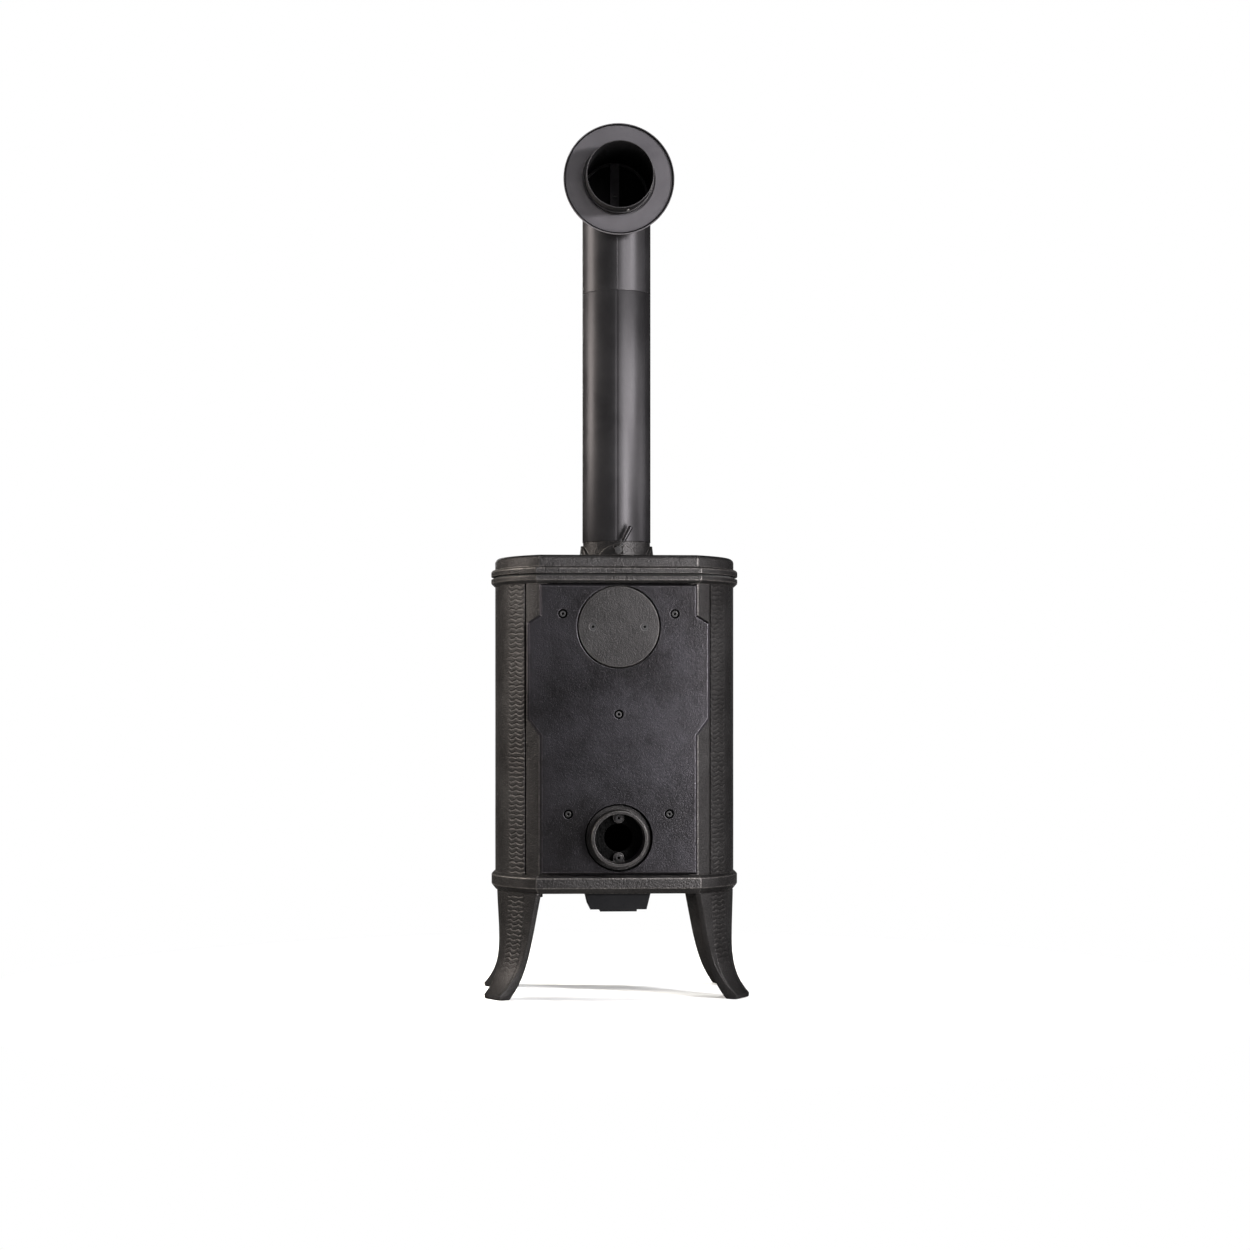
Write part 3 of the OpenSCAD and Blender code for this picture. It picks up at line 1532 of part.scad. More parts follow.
// The four clips of the glass, each drawn with +X pointing away from the glass
module clip_places() {
    for (side = [-1, 1], z = [window_low + clip_end_in, window_high - clip_end_in])
        translate([side * (window_half + glass_over), z, 0])
            mirror([side < 0 ? 1 : 0, 0, 0]) children();
}

module door_glass() color([0.3, 0.3, 0.3, 0.5])
    facing_front(0, door_rear_y, 0)
        translate([0, 0, glass_pocket - glass_t])
            linear_extrude(glass_t)
                round_rect(window_half + glass_over, window_low - glass_over,
                           window_high + glass_over, window_round - glass_gap);

module glass_clips() color([0.5, 0.5, 0.5])
    facing_front(0, door_rear_y, 0)
        clip_places() {
            back = glass_pocket - glass_t;
            translate([-glass_over, -clip_half_w, back - clip_t])
                cube([glass_over + clip_reach - glass_gap, 2 * clip_half_w, clip_t]);
            translate([clip_reach / 2 + clip_screw_r, 0, back - clip_t - clip_head_h]) {
                cylinder(r = clip_head_r, h = clip_head_h + cut);
                cylinder(r = clip_screw_r, h = clip_head_h + clip_t + clip_screw_l);
            }
        }

module door_gasket() color([0.7, 0.68, 0.64])
    facing_front(0, door_rear_y, 0)
        translate([0, 0, move_gap - door_gap])
            linear_extrude(rope_groove + door_gap - move_gap) rope_outline();

module hinge_pins() color([0.45, 0.45, 0.46])
    for (low = hinge_lows)
        translate([hinge_x, hinge_y, low]) {
            translate([0, 0, -pin_tail]) cylinder(r = hinge_pin_r, h = hinge_h + pin_tail);
            translate([0, 0, hinge_h]) cylinder(r = pin_head_r, h = pin_head_h);
        }

// Handle and latch, placed by distances out from the door's back

module door_handle() color([0.2, 0.19, 0.19]) {
    hub_low = door_t + bead_h + move_gap;
    facing_front(handle_x, door_rear_y, handle_z) {
        translate([0, 0, -latch_back]) cylinder(r = shaft_r, h = latch_back + hub_low + cut);
        tail = latch_back + tongue_t + latch_nut_t;
        translate([0, 0, -tail]) cylinder(r = latch_end_r, h = tail);
        translate([0, 0, hub_low]) cylinder(r = handle_hub_r, h = handle_hub_l);
        translate([0, 0, hub_low + handle_hub_l - arm_t]) {
            translate([0, -arm_half_w, 0]) cube([arm_l, 2 * arm_half_w, arm_t]);
            translate([arm_l, 0, 0]) cylinder(r = arm_half_w, h = arm_t);
            translate([arm_l, 0, arm_t / 2]) cylinder(r = grip_pin_r, h = grip_pin_l);
        }
    }
}

module handle_grip() color([0.3, 0.2, 0.12]) {
    low = door_t + bead_h + move_gap + handle_hub_l;
    l = front_reach - door_gap - low;
    facing_front(handle_x + arm_l, door_rear_y, handle_z)
        difference() {
            union() {
                translate([0, 0, low])
                    cylinder(r1 = handle_grip_r - grip_bevel, r2 = handle_grip_r, h = grip_taper_l);
                translate([0, 0, low + grip_taper_l])
                    cylinder(r = handle_grip_r, h = l - grip_taper_l - grip_bevel);
                translate([0, 0, low + l - grip_bevel])
                    cylinder(r1 = handle_grip_r, r2 = handle_grip_r - grip_bevel, h = grip_bevel);
            }
            translate([0, 0, low]) hole(grip_pin_r + thread_gap, grip_pin_l - arm_t / 2);
        }
}

module door_latch() color([0.4, 0.4, 0.41])
    facing_front(handle_x, door_rear_y, handle_z)
        translate([0, 0, -latch_back - tongue_t]) {
            difference() {
                union() {
                    cylinder(r = tongue_hub_r, h = tongue_t);
                    translate([-tongue_half_w, 0, 0]) cube([2 * tongue_half_w, tongue_l, tongue_t]);
                }
                hole(latch_end_r + thread_gap, tongue_t);
            }
            difference() {
                translate([0, 0, -latch_nut_t]) cylinder(r = latch_nut_r, h = latch_nut_t, $fn = 6);
                translate([0, 0, -latch_nut_t]) hole(latch_end_r + thread_gap, latch_nut_t);
            }
        }

// Rivets that hold the keeper, from its inner face into the front casting
module keeper_pins(r, l) {
    for (z = [-keeper_half_h / 2, keeper_half_h / 2])
        facing_front(opening_half + keeper_w / 2 + cut, front_y + front_t + keeper_t, handle_z + z)
            cylinder(r = r, h = l);
}

module latch_keeper() color([0.4, 0.4, 0.41]) {
    front_block(opening_half + cut, opening_half + cut + keeper_w,
                handle_z - keeper_half_h, handle_z + keeper_half_h, front_t + keeper_t, -front_t);
    keeper_pins(keeper_screw_r, front_t / 2);
}

base_casting();
leg_rear_left();
leg_rear_right();
leg_front_left();
leg_front_right();
leg_bolts();
side_panel_left();
side_panel_right();
rear_wall();
rear_shield();
shield_screws();
flue_cover();
cover_screws();
cover_bridge();
air_inlet_spigot();
air_inlet_screws();
air_duct();
air_box();
front_frame();
top_frame();
top_gasket();
top_plate();
tie_rods();
flue_collar();
collar_bolts();
damper_spindle();
damper_blade();
damper_lever();
damper_grip();
flue_pipe();
flue_elbow();
cleanout_cover();
cleanout_strap();
cleanout_knob();
wall_rosette();
rear_burn_plate();
side_burn_plate_left();
side_burn_plate_right();
baffle_plate();
firebed_plate();
fire_grate();
log_guard();
ash_pan();
ash_pan_front();
ash_pan_knob();
door_frame();
door_glass();
glass_clips();
door_gasket();
hinge_pins();
door_handle();
handle_grip();
door_latch();
latch_keeper();
ash_lip();
primary_air_slide();
primary_air_rod();
airwash_slider();
airwash_knob();
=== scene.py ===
"""Looks of a small cast-iron stove seen from behind.

Sand-cast iron with bands of wave relief, painted flue steel, ropes, linings and a plain studio.
"""
import json
import math

import bmesh
import bpy
import numpy as np
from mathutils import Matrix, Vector

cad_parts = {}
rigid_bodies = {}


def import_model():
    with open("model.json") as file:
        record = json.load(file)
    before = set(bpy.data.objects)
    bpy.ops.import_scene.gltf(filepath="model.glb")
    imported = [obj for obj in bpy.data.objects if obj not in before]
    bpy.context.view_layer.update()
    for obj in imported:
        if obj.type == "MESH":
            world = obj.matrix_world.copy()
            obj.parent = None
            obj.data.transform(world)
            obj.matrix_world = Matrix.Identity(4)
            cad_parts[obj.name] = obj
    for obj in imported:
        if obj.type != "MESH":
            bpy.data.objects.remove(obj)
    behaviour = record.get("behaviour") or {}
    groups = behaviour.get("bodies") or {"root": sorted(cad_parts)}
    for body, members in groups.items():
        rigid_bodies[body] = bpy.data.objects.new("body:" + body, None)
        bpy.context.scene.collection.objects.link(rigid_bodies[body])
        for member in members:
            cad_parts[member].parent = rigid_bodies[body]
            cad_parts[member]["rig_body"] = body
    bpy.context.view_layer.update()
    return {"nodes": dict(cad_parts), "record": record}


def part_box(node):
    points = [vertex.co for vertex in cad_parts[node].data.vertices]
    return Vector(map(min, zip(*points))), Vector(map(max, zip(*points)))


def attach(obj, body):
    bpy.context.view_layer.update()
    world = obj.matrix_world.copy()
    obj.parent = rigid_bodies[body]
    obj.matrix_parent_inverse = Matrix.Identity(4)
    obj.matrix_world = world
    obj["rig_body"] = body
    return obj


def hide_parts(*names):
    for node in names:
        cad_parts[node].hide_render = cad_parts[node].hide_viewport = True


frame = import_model()

MM = 0.001


def middle(node):
    """Middle of a node's box in the frame."""
    low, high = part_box(node)
    return low / 2 + high / 2


# Driving sizes of the body: two flat faces, and between them the curved sides
panel_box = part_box("side_panel_right")
PANEL_LOW, PANEL_HIGH = panel_box[0].z, panel_box[1].z
BODY_HALF_W = panel_box[1].x
SIDE_RISE = 70.7 * MM
BODY_HALF_D = 138 * MM
MID_Y = 10 * MM
SIDE_R = (BODY_HALF_D ** 2 + SIDE_RISE ** 2) / (2 * SIDE_RISE)
SIDE_X = BODY_HALF_W - SIDE_R
REAR_Y = MID_Y + BODY_HALF_D
FLUE_Y = middle("flue_pipe").y
FLUE_Z = middle("wall_rosette").z
PIPE_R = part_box("flue_pipe")[1].x


# Meshes

def link(name, mesh):
    """New object for a mesh, in the scene's collection."""
    obj = bpy.data.objects.new(name, mesh)
    bpy.context.scene.collection.objects.link(obj)
    return obj


SHARP_ANGLE = math.radians(32)


def shade(mesh):
    """Smooth shading, with sharper edges kept crisp."""
    mesh.shade_smooth()
    mesh.set_sharp_from_angle(angle=SHARP_ANGLE)


def even_normals(obj):
    """Keeps large faces flat beside their rounded edges."""
    modifier = obj.modifiers.new("even normals", "WEIGHTED_NORMAL")
    modifier.mode = "FACE_AREA"
    modifier.keep_sharp = True


def piece(name, mesh, material, slot, body, *nodes):
    """Object that rides on a body, takes a material and stands for some nodes."""
    obj = link(name, mesh)
    mesh.materials.clear()
    mesh.materials.append(material)
    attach(obj, body)
    if nodes:
        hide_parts(*nodes)
    return obj


def mesh_from(name, verts, faces, wear=None):
    """Mesh from points and faces, with its normals turned outward and its wear stored per point."""
    mesh = bpy.data.meshes.new(name)
    mesh.from_pydata([tuple(v) for v in verts], [], faces)
    bm = bmesh.new()
    bm.from_mesh(mesh)
    bmesh.ops.recalc_face_normals(bm, faces=bm.faces)
    bm.to_mesh(mesh)
    bm.free()
    if wear is not None:
        layer = mesh.attributes.new("wear", "FLOAT", "POINT")
        layer.data.foreach_set("value", np.asarray(wear, dtype=np.float32).ravel())
    shade(mesh)
    return mesh


def turns(count):
    """Angles that share out a full turn."""
    return [2 * math.pi * k / count for k in range(count)]


def points_of(rings):
    """All points of the rings in one list."""
    return [point for ring in rings for point in ring]


def skin(rings, ring_closed=True, caps=True, path_closed=False):
    """Faces of a skin through rings with equal counts of points."""
    count = len(rings[0])
    rows = len(rings)
    faces = []
    for i in range(rows if path_closed else rows - 1):
        low = i * count
        high = (i + 1) % rows * count
        for j in range(count if ring_closed else count - 1):
            k = (j + 1) % count
            faces.append((low + j, low + k, high + k, high + j))
    if caps and not path_closed:
        faces.append(tuple(range(count)))
        faces.append(tuple((rows - 1) * count + j for j in range(count)))
    return faces


# Nodes whose merged faces would be too intricate to fill cleanly once their edges are rounded
KEEP_TRIANGLES = ("front_frame", "top_plate", "log_guard", "ash_pan_knob", "base_casting")
FLAT_ANGLE, CORNER_ANGLE = math.radians(0.4), math.radians(28)
SAME_POINT = 1e-6


def softened(node, radius):
    """Copy of a node's shape, its triangles merged into faces and its edges rounded."""
    bm = bmesh.new()
    bm.from_mesh(frame["nodes"][node].data)
    bmesh.ops.remove_doubles(bm, verts=bm.verts, dist=SAME_POINT)
    if node not in KEEP_TRIANGLES:
        bmesh.ops.dissolve_limit(bm, angle_limit=FLAT_ANGLE, verts=bm.verts, edges=bm.edges)
    wear = bm.faces.layers.float.new("wear")
    if radius:
        sharp = [e for e in bm.edges
                 if len(e.link_faces) == 2 and e.calc_face_angle(0) > CORNER_ANGLE]
        made = bmesh.ops.bevel(bm, geom=sharp, offset=radius, offset_type="OFFSET", segments=2,
                               profile=0.5, affect="EDGES", clamp_overlap=False)
        for face in made["faces"]:
            face[wear] = 1.0
    mesh = bpy.data.meshes.new(node)
    bm.to_mesh(mesh)
    bm.free()
    shade(mesh)
    return mesh


# Materials

class Surface:
    """Principled material whose nodes are added with short calls."""

    def __init__(self, name, **inputs):
        self.material = bpy.data.materials.new(name)
        self.material.use_nodes = True
        self.tree = self.material.node_tree
        self.tree.nodes.clear()
        self.output = self.add("ShaderNodeOutputMaterial")
        self.shader = self.add("ShaderNodeBsdfPrincipled")
        self.join(self.shader.outputs["BSDF"], self.output.inputs["Surface"])
        for key, value in inputs.items():
            self.shader.inputs[key.replace("_", " ")].default_value = value
        self.place = self.add("ShaderNodeTexCoord").outputs["Object"]
        self.bump = None

    def add(self, kind, **settings):
        """New node with its settings."""
        node = self.tree.nodes.new(kind)
        for key, value in settings.items():
            setattr(node, key, value)
        return node

    def join(self, source, target):
        self.tree.links.new(source, target)

    def fill(self, node, values):
        """Sets or joins a node's inputs by name or number."""
        for key, value in values.items():
            if isinstance(value, bpy.types.NodeSocket):
                self.join(value, node.inputs[key])
            else:
                node.inputs[key].default_value = value
        return node

    def stretched(self, scale):
        """Object coordinates with another scale along each axis."""
        node = self.add("ShaderNodeMapping")
        return self.fill(node, {"Vector": self.place, "Scale": scale}).outputs[0]

    def noise(self, scale, detail=3.0, rough=0.55, place=None, distortion=0.0):
        """Cloudy value; scale is in cells per metre."""
        node = self.add("ShaderNodeTexNoise")
        return self.fill(node, {"Vector": place or self.place, "Scale": scale, "Detail": detail,
                                "Roughness": rough, "Distortion": distortion}).outputs["Fac"]

    def cells(self, scale):
        """Node of cells, with their distance and colour."""
        node = self.add("ShaderNodeTexVoronoi", feature="F1")
        return self.fill(node, {"Vector": self.place, "Scale": scale})

    def remap(self, value, low, high, to_low=0.0, to_high=1.0):
        """Value moved from one range to another and held there."""
        node = self.add("ShaderNodeMapRange", clamp=True)
        return self.fill(node, {0: value, 1: low, 2: high, 3: to_low, 4: to_high}).outputs[0]

    def math(self, operation, a, b):
        node = self.add("ShaderNodeMath", operation=operation, use_clamp=False)
        return self.fill(node, {0: a, 1: b}).outputs[0]

    def mix(self, factor, a, b):
        """Colour between two colours."""
        node = self.add("ShaderNodeMix", data_type="RGBA", blend_type="MIX")
        return self.fill(node, {0: factor, 6: a, 7: b}).outputs[2]

    def relief(self, height, distance, strength=1.0):
        """Adds one layer of bump over those before it."""
        node = self.add("ShaderNodeBump")
        values = {"Height": height, "Distance": distance, "Strength": strength}
        if self.bump:
            values["Normal"] = self.bump
        self.bump = self.fill(node, values).outputs[0]

    def wear(self):
        """1 on rounded edges and crests, where paint rubs off."""
        return self.add("ShaderNodeAttribute", attribute_name="wear").outputs["Fac"]

    def finish(self, color=None, roughness=None):
        """Joins colour, roughness and bump to the shader."""
        if color is not None:
            self.join(color, self.shader.inputs["Base Color"])
        if roughness is not None:
            self.join(roughness, self.shader.inputs["Roughness"])
        if self.bump:
            self.join(self.bump, self.shader.inputs["Normal"])
        return self.material


def halved(color):
    """Half as light a colour."""
    return (*(0.5 * c for c in color[:3]), 1.0)


def rgb(red, green, blue):
    """Linear colour of an sRGB colour given in 0 to 255."""
    linear = []
    for value in (red, green, blue):
        value /= 255
        linear.append(value / 12.92 if value <= 0.04045 else ((value + 0.055) / 1.055) ** 2.4)
    return (*linear, 1.0)


EDGE_SHEEN = (0.16, 0.16, 0.16, 1.0)
# Black of the painted shade in the hollow behind the air inlet.
PAINTED_SHADE_BLACK = rgb(6, 6, 6)


def painted(name, dark, light, worn_and_glint, rough, grain, gloss, lumps=0.0, speck=0.0, painted_shade=None):
    """Black stove paint: cloudy colour, fine grain, low lumps, rubbed edges and painted glints.

    gloss is the share of the metallic sheen; grain is (cells per metre, depth in metres);
    lumps and speck are depths of the slow and middle unevenness; the last argument, if given, is the
    centre and radius of a ball inside which the colour is painted shade, black, for the hollow behind the air
    inlet.
    """
    s = Surface(name, Specular_IOR_Level=0.0, Metallic=gloss, Specular_Tint=EDGE_SHEEN)
    clouds = s.noise(11.0, 5.0, 0.6)
    grit = s.noise(grain[0], 4.0, 0.65)
    pits = s.cells(grain[0] * 0.55).outputs["Distance"]
    color = s.mix(s.remap(clouds, 0.36, 0.66), dark, light)
    color = s.mix(s.remap(grit, 0.38, 0.7, 0.0, 0.6), color, halved(dark))
    # Painted glints: light speckles in the worn colour that stand for grains catching the light.
    painted_glints = s.noise(grain[0] * 1.3, 2.0, 0.8)
    color = s.mix(s.remap(painted_glints, 0.66, 0.78, 0.0, 0.8), color, worn_and_glint)
    rub = s.math("MULTIPLY", s.wear(), s.remap(s.noise(140.0, 4.0, 0.7), 0.35, 0.75, 0.1, 0.6))
    color = s.mix(rub, color, worn_and_glint)
    # Painted shade: black inside a ball round the air inlet, where the hollow behind it lies in shade.
    if painted_shade:
        away = s.add("ShaderNodeVectorMath", operation="DISTANCE")
        s.fill(away, {0: s.place, 1: painted_shade[0]})
        color = s.mix(s.remap(away.outputs["Value"], painted_shade[1], painted_shade[1] * 1.05), PAINTED_SHADE_BLACK, color)
    roughness = s.remap(clouds, 0.3, 0.7, rough - 0.05, rough + 0.05)
    roughness = s.math("ADD", roughness, s.remap(grit, 0.3, 0.7, -0.05, 0.08))
    if lumps:
        s.relief(s.noise(60.0, 2.0, 0.5), lumps)
    if speck:
        s.relief(s.noise(300.0, 2.0, 0.6), speck)
    s.relief(grit, grain[1])
    s.relief(s.remap(pits, 0.0, 0.5), grain[1] * 0.6)
    return s.finish(color, roughness)


def metal(name, dark, light, rough):
    """Bare or plated steel with fine scratches and a cloudy oxide."""
    s = Surface(name, Metallic=1.0)
    clouds = s.noise(35.0, 5.0, 0.65)
    lines = s.noise(900.0, 3.0, 0.7)
    color = s.mix(s.remap(clouds, 0.35, 0.7), dark, light)
    color = s.mix(s.remap(lines, 0.45, 0.75, 0.0, 0.35), color, halved(dark))
    roughness = s.remap(lines, 0.3, 0.7, rough - 0.08, rough + 0.1)
    s.relief(lines, 0.00004, 0.6)
    return s.finish(color, roughness)


def wood(name):
    """Oiled hardwood with its grain along Y."""
    s = Surface(name, Specular_IOR_Level=0.4, Coat_Weight=0.15, Coat_Roughness=0.3)
    flow = s.stretched((1.0, 0.09, 1.0))
    rings = s.add("ShaderNodeTexWave", wave_type="RINGS", rings_direction="Y")
    s.fill(rings, {"Vector": flow, "Scale": 70.0, "Distortion": 5.0, "Detail": 3.0, "Detail Scale": 1.6})
    pores = s.noise(1500.0, 2.0, 0.6, place=s.stretched((1.0, 0.05, 1.0)))
    color = s.mix(rings.outputs["Fac"], rgb(46, 29, 18), rgb(86, 56, 35))
    color = s.mix(s.remap(pores, 0.55, 0.7, 0.0, 0.7), color, rgb(30, 18, 12))
    s.relief(s.remap(pores, 0.5, 0.72), -0.00015)
    return s.finish(color, s.remap(rings.outputs["Fac"], 0.0, 1.0, 0.38, 0.52))


def board(name):
    """Vermiculite board: pale, flaky, with brown and silvery specks."""
    s = Surface(name, Specular_IOR_Level=0.2)
    flakes = s.cells(420.0)
    clouds = s.noise(25.0, 4.0, 0.6)
    shades = s.add("ShaderNodeSeparateColor")
    s.fill(shades, {0: flakes.outputs["Color"]})
    color = s.mix(shades.outputs[0], rgb(168, 146, 112), rgb(206, 186, 150))
    color = s.mix(s.remap(shades.outputs[1], 0.8, 0.95), color, rgb(96, 74, 50))
    color = s.mix(s.remap(clouds, 0.5, 0.75, 0.0, 0.5), color, rgb(110, 92, 72))
    s.relief(flakes.outputs["Distance"], 0.0006)
    s.relief(clouds, 0.0008)
    return s.finish(color, s.remap(shades.outputs[2], 0.0, 1.0, 0.75, 0.95))


def fibre(name, dark, light):
    """Knitted glass-fibre rope."""
    s = Surface(name, Specular_IOR_Level=0.15, Sheen_Weight=0.2, Sheen_Roughness=0.6)
    hairs = s.noise(1800.0, 4.0, 0.7, distortion=0.6)
    clouds = s.noise(60.0, 3.0, 0.6)
    color = s.mix(s.remap(hairs, 0.35, 0.65), dark, light)
    color = s.mix(s.remap(clouds, 0.4, 0.7, 0.0, 0.4), color, dark)
    s.relief(hairs, 0.0004)
    return s.finish(color, s.remap(hairs, 0.3, 0.7, 0.85, 1.0))


def glass(name):
    """Ceramic glass, clear with a faint smoke haze."""
    s = Surface(name, Base_Color=(0.93, 0.9, 0.84, 1.0), Transmission_Weight=1.0, IOR=1.5)
    haze = s.noise(18.0, 5.0, 0.6)
    s.relief(s.noise(9.0, 1.0, 0.4), 0.0002, 0.4)
    return s.finish(None, s.remap(haze, 0.4, 0.75, 0.03, 0.22))


def moulded(name):
    """Black moulded plastic with a fine spark texture."""
    s = Surface(name, Specular_IOR_Level=0.35)
    grain = s.noise(2200.0, 2.0, 0.5)
    clouds = s.noise(50.0, 3.0, 0.5)
    color = s.mix(clouds, rgb(24, 24, 25), rgb(40, 40, 42))
    s.relief(grain, 0.00012)
    return s.finish(color, s.remap(grain, 0.3, 0.7, 0.42, 0.6))


# Centre and radius of the ball of painted shade on the rear wall, behind the air inlet.
INLET_CENTER, INLET_SHADE_R = (0.0, 0.128, 0.265), 0.06
CASTING = dict(dark=rgb(31, 30, 30), light=rgb(39, 38, 38), worn_and_glint=rgb(80, 77, 75), rough=0.37,
               grain=(620.0, 0.0004), gloss=0.6, lumps=0.0007, speck=0.0006)

cast_iron = painted("cast_iron", **CASTING)
# Rear wall: casting paint with painted shade round the air inlet.
wall_iron_painted_shade = painted("wall_iron_painted_shade", painted_shade=(INLET_CENTER, INLET_SHADE_R), **CASTING)
smooth_iron = painted("smooth_iron", rgb(31, 30, 30), rgb(38, 37, 37), rgb(72, 70, 69), rough=0.38,
                      grain=(900.0, 0.00025), gloss=0.6, lumps=0.0003, speck=0.0003)
shield_iron = painted("shield_iron", rgb(24, 23, 24), rgb(30, 29, 31), rgb(70, 68, 71), rough=0.28,
                      grain=(900.0, 0.0002), gloss=0.7, lumps=0.0003, speck=0.00022)
flue_steel = painted("flue_steel", rgb(35, 34, 35), rgb(42, 41, 42), rgb(76, 74, 74), rough=0.4,
                     grain=(1500.0, 0.00005), gloss=0.7)
rosette_steel = painted("rosette_steel", rgb(76, 74, 77), rgb(88, 86, 89), rgb(130, 127, 124), rough=0.36,
                        grain=(1500.0, 0.00005), gloss=0.1)
sheet_steel = painted("sheet_steel", rgb(16, 16, 17), rgb(22, 22, 23), rgb(50, 48, 47), rough=0.55,
                      grain=(1400.0, 0.00008), gloss=0.4)
grate_iron = painted("grate_iron", rgb(44, 34, 28), rgb(70, 54, 44), rgb(120, 100, 80), rough=0.75,
                     grain=(500.0, 0.0006), gloss=0.3, lumps=0.001)
black_screw = painted("black_screw", rgb(30, 30, 30), rgb(42, 41, 42), rgb(100, 98, 96), rough=0.4,
                      grain=(1600.0, 0.00004), gloss=0.7)
# Near-black: rubber for the air duct, and painted shade in the shield's screw recesses and the screws'
# sockets.
rubber_and_shade_black = painted("rubber_and_shade_black", rgb(1, 1, 1), rgb(3, 3, 3), rgb(5, 5, 5), rough=0.8,
                 grain=(1200.0, 0.0001), gloss=0.05)
bare_steel = metal("bare_steel", rgb(84, 82, 80), rgb(126, 124, 122), 0.36)
dark_steel = metal("dark_steel", rgb(34, 33, 33), rgb(58, 56, 55), 0.4)
grip_steel = painted("grip_steel", rgb(26, 25, 26), rgb(38, 37, 38), rgb(96, 94, 92), rough=0.3,
                     grain=(1600.0, 0.00004), gloss=0.8)
grip_wood = wood("grip_wood")
lining = board("lining")
rope = fibre("rope", rgb(3, 3, 3), rgb(16, 16, 16))
window = glass("window")
plastic = moulded("plastic")


# Camera: level, a little to the side of the stove's rear

VIEW_TURN = math.radians(3.16)
VIEW_X, VIEW_DISTANCE, VIEW_Z = 0.210, 3.990, 0.471

camera_data = bpy.data.cameras.new("camera")
camera_data.sensor_width = 36.0
camera_data.lens = 70.85
camera_data.shift_y = 0.0688
camera_data.clip_end = 50.0
camera = bpy.data.objects.new("camera", camera_data)
camera.location = (VIEW_X, REAR_Y + VIEW_DISTANCE, VIEW_Z)
camera.rotation_euler = (math.radians(90), 0.0, math.pi - VIEW_TURN)
bpy.context.scene.collection.objects.link(camera)
bpy.context.scene.camera = camera


# Relief of the side panels and legs: rows of wavy shingles

ROW = 7.8 * MM
ROW_DEPTH = 1.0 * MM
# (share of a row, share of its depth), from one line between rows to the next
ROW_PROFILE = ((0.0, 1.0), (0.09, 0.6), (0.18, 0.3), (0.5, 0.1), (0.8, 0.0), (0.9, 0.25), (1.0, 1.0))
CREST_PROFILE = ((0.0, 0.0), (0.6, 0.0), (0.85, 0.35), (0.95, 0.1), (1.0, 0.0))
WAVE_LENGTH = 23 * MM
WAVE_SWING = (1.2 * MM, 1.9 * MM)
WAVE_SHIFT = 1.5 * MM
INVERTED_SHARE, INVERTED_SWING = 0.3, -0.8
SECOND_WAVE, SECOND_RATE, SECOND_SHIFT = (0.15, 0.35), 2.3, 0.6
ROW_STRENGTH = (0.7, 1.0)
BAND_W = 43.3 * MM
BAND_FADE = 5 * MM


def row_lines(across, low, high, seed):
    """Heights of the wavy lines between the rows, one row of heights per line."""
    rng = np.random.default_rng(seed)
    count = int((high - low) / ROW) + 4
    lines = []
    for k in range(count):
        swing = rng.uniform(*WAVE_SWING) * (1 if rng.random() < 1 - INVERTED_SHARE else INVERTED_SWING)
        phase = 2 * math.pi * (across - BAND_W / 2 + rng.uniform(-WAVE_SHIFT, WAVE_SHIFT)) / WAVE_LENGTH
        second = rng.uniform(*SECOND_WAVE)
        wave = np.cos(phase) + second * np.cos(SECOND_RATE * phase + rng.uniform(-SECOND_SHIFT, SECOND_SHIFT))
        lines.append(low + (k - 1.5) * ROW + swing * wave)
    return np.array(lines)


def shingle_depth(across, heights, low, high, seed):
    """Depth of the rows and their share of crest, one row of values per height."""
    lines = row_lines(across, low, high, seed)
    places, depths = zip(*ROW_PROFILE)
    crest_places, crests = zip(*CREST_PROFILE)
    depth = np.zeros((len(heights), len(across)))
    crest = np.zeros_like(depth)
    rng = np.random.default_rng(seed + 7)
    strength = rng.uniform(*ROW_STRENGTH, len(lines))
    for j in range(len(across)):
        k = np.clip(np.searchsorted(lines[:, j], heights) - 1, 0, len(lines) - 2)
        part = (heights - lines[k, j]) / (lines[k + 1, j] - lines[k, j])
        depth[:, j] = np.interp(part, places, depths) * strength[k]
        crest[:, j] = np.interp(part, crest_places, crests)
    return depth * ROW_DEPTH, crest


def rounded(distance, radius):
    """How far a rounded edge falls back at a distance from the edge."""
    inside = np.clip(radius - distance, 0.0, radius)
    return radius - np.sqrt(radius ** 2 - inside ** 2)


def uneven(across, heights, size, height, seed):
    """Slow unevenness of a casting's face as a sum of a few waves."""
    waves = 7
    rng = np.random.default_rng(seed)
    total = np.zeros((len(heights), len(across)))
    for _ in range(waves):
        a, b = rng.uniform(-1, 1, 2) * 2 * math.pi / size
        total += np.sin(a * across[None, :] + b * heights[:, None] + rng.uniform(0, 2 * math.pi))
    return (total / waves + 1) / 2 * height


# Side panels

PANEL_T = 7 * MM
PANEL_ANGLE = math.radians(43.68)
PANEL_EDGE = 1.3 * MM
PANEL_STEP, PANEL_ROW_STEP = 0.8 * MM, 0.78 * MM
PANEL_PLAIN_POINTS, PANEL_INNER_POINTS = 24, 14
BAND_MARGIN, PLAIN_FROM = 2 * MM, 5 * MM
PANEL_LUMP, PANEL_LUMP_DEPTH = 90 * MM, 0.25 * MM


